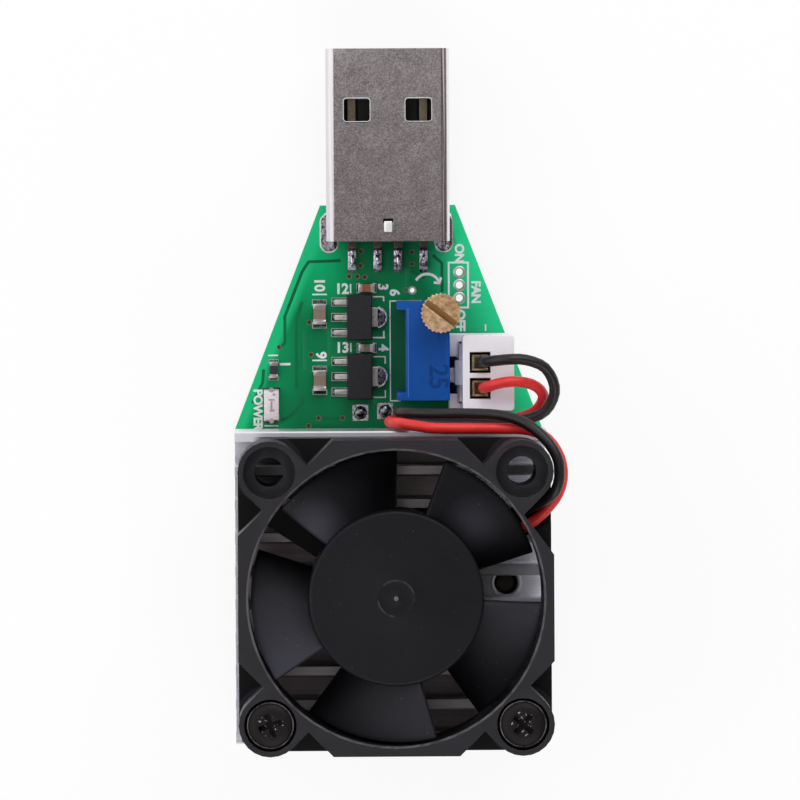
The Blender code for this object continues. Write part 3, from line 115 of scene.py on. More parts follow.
def insetTop(piece, thickness, depth=0.0):  # edit mode, with the top's inner face left selected
    editMode(piece, "FACE")
    bpy.ops.mesh.select_all(action="DESELECT")
    leaveEdit()
    for face in piece.data.polygons:
        face.select = face.normal.z > 0.9
    bpy.ops.object.mode_set(mode="EDIT")
    bpy.ops.mesh.inset(thickness=thickness * mm, depth=depth * mm)


def cutAway(piece, point, normal):  # what lies behind the plane goes, and a face closes the cut
    editMode(piece, "VERT")
    bpy.ops.mesh.bisect(plane_co=point, plane_no=normal, use_fill=True, clear_inner=True)
    leaveEdit()


def join(name, pieces):
    selectOnly(*pieces)
    if len(pieces) > 1:
        bpy.ops.object.join()
    whole = bpy.context.object
    whole.name = name
    whole.data.name = name
    return whole


def addObject(name, data):
    piece = bpy.data.objects.new(name, data)
    bpy.context.collection.objects.link(piece)
    return piece


def applyModifier(piece, kind, **settings):
    modifier = piece.modifiers.new(kind, kind)
    for name, value in settings.items():
        setattr(modifier, name, value)
    selectOnly(piece)
    bpy.ops.object.modifier_apply(modifier=kind)


def finishPiece(piece, finish, body="load", angle=40):
    piece.data.materials.clear()
    piece.data.materials.append(finish.material)
    if piece.type == "MESH":
        selectOnly(piece)
        bpy.ops.object.shade_smooth_by_angle(angle=math.radians(angle))
    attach(piece, body)
    return piece


def bevelEdges(piece, width, segments):
    editMode(piece)
    bpy.ops.mesh.bevel(offset=width * mm, segments=segments, affect="EDGES")
    leaveEdit()


def addBlock(low, high, bevel=0.0, segments=2):
    middle = [(a + b) / 2 for a, b in zip(low, high)]
    selectOnly()
    bpy.ops.mesh.primitive_cube_add(size=1, location=at(*middle))
    piece = bpy.context.object
    piece.scale = [(b - a) * mm for a, b in zip(low, high)]
    settle(piece)
    if bevel:
        bevelEdges(piece, bevel, segments)
    return piece


def addRod(x, y, low, high, radius, sides=24):
    selectOnly()
    bpy.ops.mesh.primitive_cylinder_add(vertices=sides, radius=radius * mm, depth=(high - low) * mm,
                                        location=at(x, y, (low + high) / 2))
    return settle(bpy.context.object)


def addCurve(name, places, radius, resolution):
    curve = bpy.data.curves.new(name, "CURVE")
    curve.dimensions = "3D"
    curve.bevel_depth = radius * mm
    curve.bevel_resolution = resolution
    curve.use_fill_caps = True
    spline = curve.splines.new("POLY")
    spline.points.add(len(places) - 1)
    for point, place in zip(spline.points, places):
        point.co = (*at(*place), 1.0)
    return addObject(name, curve), spline


def addLine(points, width, height, z, closed=False):  # a flattened bar with its middle at z
    line, spline = addCurve("line", points, width / 2, 1)
    spline.use_cyclic_u = closed
    line = asMesh(line)
    level = at(0, 0, 0).z
    for vertex in line.data.vertices:
        vertex.co.z = at(0, 0, z).z + (vertex.co.z - level) * height / width
    return line


moundFoot = 0.05  # share of the sphere's radius that is cut away below its foot


def addMound(x, y, z, radius, height, stretch=1.0, turn=0.0, sides=20):
    selectOnly()
    bpy.ops.mesh.primitive_uv_sphere_add(segments=sides, ring_count=10, radius=1.0, location=(0, 0, 0))
    mound = bpy.context.object
    cutAway(mound, (0, 0, moundFoot), (0, 0, 1))
    mound.scale = (radius * mm, radius * stretch * mm, height * mm)
    mound.rotation_euler = (0, 0, turn)
    mound.location = at(x, y, z - moundFoot * height)
    return settle(mound)


def addLathe(profile, place, sides=64):  # profile of (radius, height) in mm, turned about Z
    mesh = bpy.data.meshes.new("lathe")
    points = [(place[0] + radius * mm, place[1], place[2] + height * mm) for radius, height in profile]
    mesh.from_pydata(points, [(i, i + 1) for i in range(len(points) - 1)], [])
    piece = addObject("lathe", mesh)
    editMode(piece, "VERT")
    bpy.ops.mesh.spin(steps=sides, angle=2 * math.pi, center=place, axis=(0, 0, 1))
    bpy.ops.mesh.select_all(action="SELECT")
    bpy.ops.mesh.remove_doubles(threshold=0.002 * mm)
    bpy.ops.mesh.normals_make_consistent(inside=False)
    leaveEdit()
    return piece


def addText(word, x, y, z, size, turn, thickness=0.012):
    selectOnly()
    bpy.ops.object.text_add(location=at(x, y, z), rotation=(0, 0, turn))
    text = bpy.context.object
    text.data.body = word
    text.data.size = size * mm
    text.data.extrude = thickness * mm
    text.data.offset = 0.05 * mm
    text.data.resolution_u = 3
    text.data.space_character = 0.94
    text.data.align_x = "CENTER"
    text.data.align_y = "CENTER"
    return asMesh(text)


# Node trees: a wire is an output socket, and sums with wires add Math nodes


class Wire:
    def __init__(self, graph, socket):
        self.graph = graph
        self.socket = socket

    def math(self, operation, *others):
        return self.graph.node("Math", {"operation": operation}, [self, *others])

    def __abs__(self):
        return self.math("ABSOLUTE")


for name, operation in {"add": "ADD", "sub": "SUBTRACT", "mul": "MULTIPLY", "truediv": "DIVIDE", "or": "MAXIMUM",
                        "gt": "GREATER_THAN", "lt": "LESS_THAN"}.items():
    setattr(Wire, f"__{name}__", lambda self, other, operation=operation: self.math(operation, other))


def distance(across, along):
    return (across * across + along * along).math("SQRT")


def within(wire, low, high):
    return (wire > low) * (wire < high)


class Graph:
    def __init__(self, tree):
        self.tree = tree

    def feed(self, socket, value):
        if isinstance(value, Wire):
            self.tree.links.new(value.socket, socket)
        elif isinstance(value, (tuple, list)) and len(value) == 3 and socket.type == "RGBA":
            socket.default_value = (*value, 1.0)
        else:
            socket.default_value = value

    def node(self, kind, settings=None, inputs=(), output=0):
        made = self.tree.nodes.new("ShaderNode" + kind)
        for name, value in (settings or {}).items():
            setattr(made, name, value)
        pairs = inputs.items() if isinstance(inputs, dict) else enumerate(inputs)
        for key, value in pairs:
            self.feed(made.inputs[key], value)
        return Wire(self, made.outputs[output])

    def value(self, factor, low, high, fromLow=0.0, fromHigh=1.0, **settings):
        return self.node("MapRange", settings, {
            "Value": factor, "From Min": fromLow, "From Max": fromHigh, "To Min": low, "To Max": high},
            output="Result")


class Finish(Graph):
    def __init__(self, name, colour=None, roughness=None, metallic=None, **others):
        self.material = bpy.data.materials.new(name)
        self.material.use_nodes = True
        super().__init__(self.material.node_tree)
        self.shader = self.tree.nodes["Principled BSDF"]
        for socket, value in {"Base Color": colour, "Roughness": roughness, "Metallic": metallic, **others}.items():
            if value is not None:
                self.set(socket.replace("_", " "), value)

    def set(self, socket, value):
        self.feed(self.shader.inputs[socket], value)
        return self

    def place(self):
        return self.node("TexCoord", output="Object")

    def axis(self, name):  # millimetres on the board
        return self.node("SeparateXYZ", None, [self.place()], output=name) / mm - boardOrigin["XYZ".index(name)]

    def upward(self, kind):  # 1 where the surface faces up
        return self.node("SeparateXYZ", None, [self.node("NewGeometry", output=kind)], output="Z")

    def stretched(self, scale):  # Object coordinates in millimetres
        return self.node("Mapping", {"vector_type": "POINT"}, {
            "Vector": self.place(), "Scale": [s / mm for s in scale]})

    def noise(self, size, detail=3.0, roughness=0.55, vector=None):  # size in millimetres
        return self.node("TexNoise", None, {
            "Vector": vector or self.place(), "Scale": 1.0 / (size if vector else size * mm),
            "Detail": detail, "Roughness": roughness}, output="Fac")

    def patches(self, size, low, high, start=0.35):
        return self.value(self.noise(size), low, high, start, 0.6)

    def ramp(self, factor, *stops):
        tones = self.node("ValToRGB", None, [factor], output="Color")
        elements = tones.socket.node.color_ramp.elements
        while len(elements) < len(stops):
            elements.new(0.5)
        for element, (position, colour) in zip(elements, stops):
            element.position = position
            element.color = (*colour, 1.0)
        return tones

    def mix(self, factor, first, second):
        return self.node("Mix", {"data_type": "RGBA"}, {0: factor, 6: first, 7: second}, output=2)

    def coat(self, colour, roughness, relief, strength, depth):  # depth in millimetres
        bump = self.node("Bump", None, {"Height": relief, "Strength": strength, "Distance": depth * mm})
        return self.set("Base Color", colour).set("Roughness", roughness).set("Normal", bump)


def wear(names, finish, slot, bevel=0.0, angle=35):  # merged copies of the nodes, which can shade smoothly
    for name in names:
        twin = addObject(name + "Dressed", nodes[name].data.copy())
        editMode(twin, "VERT")
        bpy.ops.mesh.remove_doubles(threshold=0.0003 * mm)
        leaveEdit()
        if bevel:
            applyModifier(twin, "BEVEL", width=bevel * mm, segments=2, limit_method="ANGLE",
                          angle_limit=math.radians(angle))
        finishPiece(twin, finish, body=nodes[name]["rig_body"], angle=angle)
        applyModifier(twin, "WEIGHTED_NORMAL", keep_sharp=True)
        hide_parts(name)


# Materials: each look beside its finish, with places in millimetres on the board


def solderFinish(name, dark, light):
    solder = Finish(name, metallic=1.0)
    tones = solder.ramp(solder.noise(0.45, 3.0, 0.7), (0.4, dark), (0.47, light), (0.56, light), (0.66, dark))
    return solder.coat(tones, solder.value(solder.noise(0.3), 0.18, 0.34), solder.noise(0.9, 2.0), 0.5, 0.12)


# The two mask tones vary at random; the lighter colours are painted light: a pool at the upper left and a glow along
# the left edge and the right margin
boardLook = {
    "mask": ((0.0008, 0.115, 0.038), (0.0015, 0.19, 0.066)), "paintedBright": (0.002, 0.52, 0.185),
    "side": (0.012, 0.49, 0.195), "margin": (0.022, 0.64, 0.275), "edge": ((0.3, 0.34, 0.13), (0.44, 0.46, 0.22)),
    "upperY": (10.9, 16.2), "upperX": (-5.375, -2.875), "outerX": (-10.875, -8.375),
    "sideSlope": 0.41, "sideRange": (-14.369, -13.669), "marginSlope": 0.4, "marginRange": (8.985, 14.985),
}


def boardFinish():  # green mask on glass cloth, with painted light at the upper left, at the left and along the right margin
    look = boardLook
    board = Finish("boardMask", Specular_IOR_Level=0.16)
    x, y = board.axis("X"), board.axis("Y")
    mottle = board.noise(7.0, 2.0)
    upper = board.value(y, 0.06, 1.0, *look["upperY"]) * board.value(x, 1.0, 0.0, *look["upperX"])
    outer = board.value(x, 0.46, 0.0, *look["outerX"])
    # random mottle, plus painted light at the upper left and over the left part
    mottleAndLight = board.value(mottle, 0.0, 0.12) + (upper | outer) * 0.72
    skin = board.mix(mottleAndLight, board.mix(mottle, *look["mask"]), look["paintedBright"])
    # painted light along the left edge, then along the right margin
    skin = board.mix(board.value(x - y * look["sideSlope"], 1.0, 0.0, *look["sideRange"]), skin, look["side"])
    skin = board.mix(board.value(x + y * look["marginSlope"], 0.0, 1.0, *look["marginRange"]), skin, look["margin"])
    face = abs(board.upward("Normal")) > 0.5
    weave = board.node("TexWave", {"wave_type": "BANDS", "bands_direction": "X"},
                       {"Vector": board.stretched((1, 1, 1)), "Scale": 1.3, "Distortion": 0.6})
    return board.coat(board.mix(face, board.mix(board.noise(0.3), *look["edge"]), skin), board.value(face, 0.75, 0.34),
                      weave * 0.25 + board.noise(0.25) * 0.4, 0.1, 0.03)


def plasticFinish(name, dark, light, grain, rough, specular=0.5, relief=0.14):
    plastic = Finish(name, Specular_IOR_Level=specular)
    roughness = plastic.value(plastic.noise(grain / 3), rough - 0.07, rough + 0.07)
    return plastic.coat(plastic.mix(plastic.noise(grain), dark, light), roughness,
                        plastic.noise(0.15, 2.0), relief, 0.02)


fan = {"centre": (0.3, -15.35), "hub": 8.38, "wall": 14.24, "holes": 24.0, "ear": 3.4}


def fanPlace(plastic):  # across and along from the fan's middle, and the distance from it
    x, y = plastic.axis("X") - fan["centre"][0], plastic.axis("Y") - fan["centre"][1]
    return x, y, distance(x, y)


def dusted(plastic, colour):
    return plastic.mix((plastic.noise(0.24, 1.0) > 0.79) * 0.45, colour, (0.16, 0.16, 0.17))


# the low colour is painted shade, the worn colour a painted edge highlight, and the bore's grey a painted highlight
# crescent
frameLook = {
    "plastic": ((0.015, 0.0138, 0.0168), (0.024, 0.0222, 0.0262)), "low": (0.006, 0.0052, 0.006),
    "worn": (0.44, 0.43, 0.46), "boreHighlight": (0.13, 0.13, 0.14), "shadeTop": 21.0, "edgeHighlightFrom": 24.6, "boreHighlightFrom": 20.0,
    "rim": 1.0, "boreHighlightAcross": (-0.95, -0.88), "level": 0.9, "bevelled": (0.25, 0.93),
}


def frameFinish():  # black moulding, with painted shade on its low webs and in the bore, painted highlights on its upper bevelled edges, and a painted highlight crescent on the left of the bore
    look = frameLook
    plastic = Finish("fanPlastic", Specular_IOR_Level=0.15)
    x, y, radius = fanPlace(plastic)
    z, tilt = plastic.axis("Z"), plastic.upward("True Normal")
    bore = radius < fan["wall"]
    web = distance(abs(x) - fan["holes"] / 2, abs(y) - fan["holes"] / 2) > fan["ear"]
    # painted shade on the low up-facing webs and over the whole bore
    low = (z < look["shadeTop"]) * (tilt > look["level"]) * web + bore
    colour = plastic.mix(plastic.noise(3.0), *look["plastic"])
    colour = plastic.mix(low.math("MINIMUM", 1.0), colour, look["low"])
    # worn is a painted highlight on the upper bevelled edges, patchy and weaker near the bore's rim
    worn = within(tilt, *look["bevelled"]) * (z > look["edgeHighlightFrom"]) * plastic.patches(1.1, 0.4, 1.0)
    worn = worn * plastic.value(radius < fan["wall"] + look["rim"], 0.9, 0.2)
    colour = plastic.mix(worn, colour, look["worn"])
    # a painted highlight crescent on the left wall of the bore
    boreHighlight = plastic.value(x / radius, 1.0, 0.0, *look["boreHighlightAcross"]) * bore * (z > look["boreHighlightFrom"])
    colour = plastic.mix(boreHighlight * plastic.patches(2.5, 0.4, 0.9), colour, look["boreHighlight"])
    return plastic.coat(dusted(plastic, colour), plastic.value(plastic.noise(1.2), 0.4, 0.54),
                        plastic.noise(0.16, 2.0), 0.14, 0.02)


rotorLook = {
    "hub": ((0.0046, 0.0044, 0.0062), (0.0076, 0.0073, 0.0098)),
    "blade": ((0.0042, 0.004, 0.0056), (0.033, 0.032, 0.044)), "mark": (0.1, 0.1, 0.105),
    "litX": (-13.0, 0.0), "litY": (3.0, 7.0), "litZ": (19.5, 24.4), "sheenAt": (7.4, 6.9), "sheen": (0.6, 3.2),
    "gate": 0.22, "ring": (1.64, 1.8), "face": 25.3,
}


def rotorFinish():  # blades lit at the left and in two soft spots, a flat hub with its moulding mark
    look = rotorLook
    plastic = Finish("rotorPlastic", Specular_IOR_Level=0.15)
    x, y, radius = fanPlace(plastic)
    z = plastic.axis("Z")
    lit = plastic.value(x, 1.0, 0.35, *look["litX"]) * plastic.value(z, 0.0, 1.0, *look["litZ"])
    lit = lit * plastic.value(y, 1.0, 0.12, *look["litY"])
    toSheen = distance(abs(x) - look["sheenAt"][0], y - look["sheenAt"][1])
    lit = lit | plastic.value(toSheen, 0.85, 0.0, *look["sheen"])
    colour = plastic.mix(plastic.noise(3.0), *look["hub"])
    colour = plastic.mix(radius > fan["hub"], colour, plastic.mix(lit, *look["blade"]))
    ring = within(radius, *look["ring"]) * plastic.patches(1.4, 0.0, 0.3, 0.45)
    colour = plastic.mix(((radius < look["gate"]) + ring) * (z > look["face"]), colour, look["mark"])
    return plastic.coat(dusted(plastic, colour), plastic.value(plastic.noise(1.2), 0.38, 0.52),
                        plastic.noise(0.16, 2.0), 0.1, 0.02)


screwLook = {"ring": (2.12, 2.22), "cross": 1.25, "glint": (0.24, 0.22, 0.21),
             "black": ((0.0046, 0.0034, 0.0036), (0.0092, 0.0072, 0.0076))}


def screwFinish():  # blackened, with a painted highlight ring at the head's edge and painted glints in the cross
    look = screwLook
    metal = Finish("blackScrew", Specular_IOR_Level=0.16)
    x, y, _ = fanPlace(metal)
    radius = distance(abs(x) - fan["holes"] / 2, y + fan["holes"] / 2)
    # ring: a painted highlight round the head's edge
    ring = within(radius, *look["ring"]) * metal.patches(0.9, 0.2, 1.0)
    glint = (radius < look["cross"]) * (metal.noise(0.35, 1.0) > 0.67)
    return metal.coat(metal.mix(ring | glint, metal.mix(metal.noise(0.4), *look["black"]), look["glint"]),
                      metal.value(metal.noise(0.5), 0.4, 0.52), metal.noise(0.2, 2.0), 0.3, 0.03)


def metalFinish(name, dark, light, grain, rough, relief=0.15):
    metal = Finish(name, metallic=1.0)
    marks = metal.noise(grain, 3.0)
    return metal.coat(metal.mix(marks, dark, light), metal.value(marks, rough - 0.08, rough + 0.08),
                      metal.noise(grain / 2, 2.0), relief, 0.02)


# the lighter and darker tones at the bends are painted reflections, the whitest tone a painted highlight on the rim,
# and the slope painted shading
plateLook = {
    "tones": ((0.36, (0.22, 0.188, 0.19)), (0.5, (0.4, 0.35, 0.352)), (0.64, (0.64, 0.59, 0.59))),
    "paleReflectionTone": (0.74, 0.7, 0.73), "dark": (0.12, 0.1, 0.105), "paintedBright": (0.92, 0.9, 0.92),
    "paleReflection": (-5.36, -5.24), "darkReflection": ((5.16, 5.26), (5.58, 5.68)), "rim": 5.72,
    "slope": 0.5, "shadingRange": (18.0625, 41.0625),
}


def speckledPlate():  # painted reflections, a light one on the left bend and a dark one on the right, a painted highlight on the rim outside it, and painted shading over the top
    look = plateLook
    plate = Finish("shellPlate", metallic=1.0)
    grain, cloud = plate.noise(0.16, 4.0, 0.8), plate.noise(2.0, 3.0)
    x = plate.axis("X")
    # painted reflections: light on the left bend, dark on the right bend; and a painted highlight on the rim
    paleReflection = plate.value(x, 1.0, 0.0, *look["paleReflection"])
    darkReflection = plate.value(x, 0.0, 1.0, *look["darkReflection"][0]) * plate.value(x, 1.0, 0.0, *look["darkReflection"][1])
    rim = x > look["rim"]
    # painted shading, lighter toward the plug's tip and to the right
    slope = plate.value(plate.axis("Y") + x * look["slope"], -0.045, 0.045, *look["shadingRange"])
    colour = plate.ramp(grain * 0.82 + cloud * 0.18 + slope, *look["tones"])
    colour = plate.mix(paleReflection * 0.9, colour, look["paleReflectionTone"])
    colour = plate.mix(darkReflection * 0.8, colour, look["dark"])
    plate.set("Metallic", plate.value(paleReflection | rim, 1.0, 0.55))
    return plate.coat(plate.mix(rim, colour, look["paintedBright"]), plate.value(grain, 0.22, 0.42) + paleReflection * 0.12,
                      plate.noise(0.13, 3.0) * plate.value(paleReflection, 1.0, 0.2), 0.5, 0.015)


# the two darker colours are painted shade, between the fins and under the upper left ear; the top colour also serves as
# painted light
sheetLook = {
    "finShade": ((0.15, 0.125, 0.13), (0.44, 0.38, 0.39)), "top": ((0.64, 0.63, 0.68), (0.92, 0.91, 0.97)),
    "earShade": (0.05, 0.045, 0.05), "rightLightX": (7.625, 10.625), "riseLightZ": (13.5, 15.0), "head": -0.25, "tail": -29.6,
    "middle": 0.125, "flank": 14.6, "cornerLightX": (-13.3, -12.2), "cornerLightY": (-2.6, -1.9),
    "earShadeX": (-10.3, -9.3), "earShadeY": -5.8,
}


def brushedAluminium():  # bare outside; painted shade, brownish, between the fins and darker still under the upper left ear; painted light on the fin tops, the right end and the upper left corner
    look = sheetLook
    sheet = Finish("bareAluminium", metallic=1.0)
    x, y = sheet.axis("X"), sheet.axis("Y")
    streaks = sheet.noise(1.0, 3.0, 0.6, sheet.stretched((0.05, 6.0, 6.0)))
    # painted light on the right end and on the upper left corner, which also turn less metallic
    rim = sheet.value(x, 0.0, 1.0, *look["rightLightX"])
    corner = sheet.value(x, 1.0, 0.0, *look["cornerLightX"]) * sheet.value(y, 0.0, 1.0, *look["cornerLightY"])
    # painted light that rises with height toward the fin tops
    riseLight = sheet.value(sheet.axis("Z"), 0.0, 0.168, *look["riseLightZ"])
    outside = (abs(x - look["middle"]) > look["flank"]) | (y > look["head"]) | (y < look["tail"])
    # painted shade under the upper left ear
    earShade = sheet.value(x, 1.0, 0.0, *look["earShadeX"]) * (y > look["earShadeY"])
    finShade = sheet.mix(earShade * 0.8, sheet.mix(streaks, *look["finShade"]), look["earShade"])
    sheet.set("Metallic", sheet.value(rim | corner * 0.7, 1.0, 0.1))
    return sheet.coat(sheet.mix(riseLight | rim | corner | outside, finShade, sheet.mix(streaks, *look["top"])),
                      sheet.value(streaks, 0.26, 0.46), streaks, 0.15, 0.02)


brassLook = {
    "worn": ((0.3, (0.26, 0.13, 0.055)), (0.48, (0.62, 0.38, 0.2)),
             (0.62, (0.88, 0.61, 0.39)), (0.78, (0.98, 0.82, 0.66))),
    "slot": ((0.26, 0.13, 0.045), (0.5, 0.29, 0.13)), "slotDepth": 0.3, "slotRadius": 1.78,
}


def knobBrass():  # blotched, with painted shade on the slot's floor
    look = brassLook
    knob = Finish("knobBrass", metallic=1.0)
    blotches = knob.noise(0.55, 4.0, 0.7)
    low, high = boardBox("trimmer_knob")
    radius = distance(knob.axis("X") - (low[0] + high[0]) / 2, knob.axis("Y") - (low[1] + high[1]) / 2)
    # painted shade on the slot's floor
    floor = (knob.axis("Z") < high[2] - look["slotDepth"]) * (radius < look["slotRadius"])
    return knob.coat(knob.mix(floor, knob.ramp(blotches, *look["worn"]), knob.mix(blotches, *look["slot"])),
                     knob.value(blotches, 0.5, 0.26), knob.noise(0.18, 3.0), 0.7, 0.04)


# the two inner colour pairs are painted shade on the plating inside the shell
contactLook = {
    "shell": 17.5, "windows": 24.0, "shade": ((0.055, 0.04, 0.032), (0.16, 0.125, 0.1)),
    "brownShade": ((0.15, 0.115, 0.075), (0.44, 0.36, 0.27)),
    "tinned": ((0.42, (0.09, 0.075, 0.095)), (0.5, (0.52, 0.47, 0.55)), (0.62, (0.84, 0.79, 0.88))),
}


def contactPlate():  # tinned outside the shell; inside it, painted shade on the plating: darkest under the shell's roof, a lighter brownish under the windows
    look = contactLook
    contact = Finish("contactPlate", metallic=1.0)
    marks, y = contact.noise(0.3, 3.0), contact.axis("Y")
    inside = contact.mix(y > look["windows"], contact.mix(marks, *look["shade"]), contact.mix(marks, *look["brownShade"]))
    tinned = contact.ramp(contact.noise(0.55, 3.0, 0.65), *look["tinned"])
    return contact.coat(contact.mix(y > look["shell"], tinned, inside), 0.34, marks, 0.2, 0.02)


boardGreen = boardFinish()
traceGreen = plasticFinish("traceMask", (0.002, 0.095, 0.034), (0.004, 0.135, 0.052), 2.0, 0.35, 0.2)
faintGreen = plasticFinish("faintMask", (0.0015, 0.125, 0.044), (0.003, 0.165, 0.06), 2.0, 0.35, 0.2)
copperRise = plasticFinish("risenMask", (0.003, 0.17, 0.058), (0.005, 0.22, 0.08), 4.0, 0.3, 0.25)
ink = plasticFinish("whiteInk", (0.58, 0.64, 0.62), (0.86, 0.9, 0.89), 0.12, 0.6, 0.3)
solder = solderFinish("solder", (0.3, 0.29, 0.31), (0.8, 0.79, 0.82))
# a painted dark reflection: the solder of pools and fillets coloured dark, with small lighter patches
darkReflectionSolder = solderFinish("solderDarkReflection", (0.03, 0.028, 0.035), (0.24, 0.225, 0.25))
pinSolder = solderFinish("pinSolder", (0.17, 0.145, 0.18), (0.86, 0.8, 0.9))
brightSolder = metalFinish("brightSolder", (0.66, 0.64, 0.64), (0.96, 0.95, 0.96), 0.25, 0.3)
padTin = metalFinish("padTin", (0.42, 0.4, 0.38), (0.66, 0.64, 0.62), 0.3, 0.4)
tin = metalFinish("tinPlate", (0.46, 0.45, 0.44), (0.76, 0.75, 0.74), 0.3, 0.3)
steel = metalFinish("steel", (0.4, 0.4, 0.41), (0.62, 0.62, 0.64), 0.5, 0.3)
nylon = plasticFinish("whiteNylon", (0.84, 0.82, 0.88), (0.95, 0.93, 0.98), 1.5, 0.42, 0.4)
rotorPlastic = rotorFinish()

worn = {  # nodes: slot, finish, and a bevel and a smoothing angle of their own
    "circuit_board": ("green_solder_mask", boardGreen),
    "fan_circuit_board": ("driver_board", boardGreen),
    "usb_shell": ("nickel_plate", speckledPlate(), 0.0, 30),
    "usb_insulator": ("black_polyester", plasticFinish(
        "darkPolyester", (0.007, 0.006, 0.005), (0.014, 0.012, 0.01), 0.8, 0.5, 0.25), 0.05),
    "usb_contact_1 usb_contact_2 usb_contact_3 usb_contact_4": ("gold_plate", contactPlate(), 0.04),
    "trimmer_body": ("blue_moulding", plasticFinish(
        "trimmerBlue", (0.003, 0.055, 0.275), (0.0055, 0.088, 0.385), 2.5, 0.36, 0.22, 0.2), 0.12),
    "trimmer_knob": ("brass", knobBrass(), 0.05),
    "trimmer_pin_1 trimmer_pin_2 trimmer_pin_3 header_pin_1 header_pin_2": ("tinned_wire", tin),
    "plug_terminal_1 plug_terminal_2": ("tinned_bronze", metalFinish(
        "terminalTin", (0.012, 0.009, 0.005), (0.62, 0.5, 0.3), 0.22, 0.32, 0.9), 0.05),
    "regulator_1_leads regulator_2_leads transistor_tab": ("tinned_copper", metalFinish(
        "dullTin", (0.36, 0.33, 0.32), (0.68, 0.64, 0.62), 0.25, 0.3, 0.5), 0.04),
    "transistor_lead_1 transistor_lead_2 transistor_lead_3": ("tinned_copper", tin, 0.05),
    "regulator_1_case regulator_2_case transistor_case": ("black_epoxy", plasticFinish(
        "blackEpoxy", (0.0095, 0.0085, 0.0105), (0.026, 0.024, 0.028), 0.2, 0.55, 0.22, 0.5), 0.05),
    "header_shroud plug_housing": ("white_nylon", nylon, 0.08),
    "thermal_pad": ("grey_silicone", plasticFinish(
        "padGrey", (0.3, 0.31, 0.36), (0.44, 0.44, 0.49), 0.4, 0.85, 0.2), 0.04),
    "heatsink": ("bare_aluminium", brushedAluminium(), 0.0, 1),
    "heatsink_screw": ("zinc_plate", metalFinish(
        "fixingSteel", (0.03, 0.024, 0.02), (0.1, 0.085, 0.075), 0.5, 0.36), 0.05),
    "fan_shaft": ("shaft_steel", steel),
    "stator_core": ("laminated_steel", steel),
    "fan_frame": ("black_frame_plastic", frameFinish(), 0.11),
    "rotor_magnet": ("magnet_rubber", plasticFinish(
        "ferrite", (0.03, 0.026, 0.026), (0.055, 0.048, 0.048), 0.3, 0.7, 0.2)),
    "shaft_clip": ("clip_nylon", plasticFinish("clipWhite", (0.66, 0.66, 0.62), (0.78, 0.78, 0.74), 0.3, 0.5)),
    "sleeve_bearing": ("sintered_bronze", metalFinish("bronze", (0.36, 0.22, 0.11), (0.5, 0.33, 0.18), 0.2, 0.5)),
    "coil_1 coil_2 coil_3 coil_4": ("enamelled_copper", metalFinish(
        "windings", (0.46, 0.15, 0.05), (0.72, 0.3, 0.13), 0.2, 0.35), 0.1),
    "fan_screw_1 fan_screw_2": ("black_steel", screwFinish(), 0.05),
}
for names, (slot, finish, *edge) in worn.items():
    wear(names.split(), finish, slot, *edge)
print("materials worn")


# Chips: one block each, so its tinned ends come from its place

chips = {  # long axis, dark and light colour, share of each end that is tinned, slot
    "capacitor_1": ("Y", (0.17, 0.105, 0.075), (0.27, 0.18, 0.13), 0.26, "capacitor_ceramic"),
    "capacitor_2": ("Y", (0.17, 0.105, 0.075), (0.27, 0.18, 0.13), 0.26, "capacitor_ceramic"),
    "capacitor_3": ("X", (0.2, 0.055, 0.025), (0.3, 0.095, 0.045), 0.24, "capacitor_ceramic"),
    "capacitor_4": ("X", (0.13, 0.085, 0.065), (0.21, 0.145, 0.11), 0.3, "capacitor_ceramic"),
    "resistor": ("Y", (0.01, 0.01, 0.012), (0.026, 0.026, 0.028), 0.24, "resistor_ceramic"),
    "power_lamp": ("Y", (0.42, 0.37, 0.36), (0.66, 0.61, 0.6), 0.14, "lamp_plastic"),
}
chipBevel = 0.07


def dressChip(name, axis, dark, light, capShare, slot):
    low, high = boardBox(name)
    index = "XYZ".index(axis)
    middle, half = (low[index] + high[index]) / 2, (high[index] - low[index]) / 2
    chip = Finish(name + "Finish")
    capped = abs(chip.axis(axis) - middle) > half * (1 - 2 * capShare)
    caps = chip.mix(chip.noise(0.3), (0.4, 0.38, 0.37), (0.7, 0.68, 0.66))
    chip.set("Metallic", capped)
    chip.coat(chip.mix(capped, chip.mix(chip.noise(0.15), dark, light), caps), chip.value(capped, 0.5, 0.3),
              chip.noise(0.18), 0.3, 0.02)
    wear([name], chip, slot, chipBevel)


for name, (axis, dark, light, capShare, slot) in chips.items():
    dressChip(name, axis, dark, light, capShare, slot)
print("chips dressed")


# Fan leads

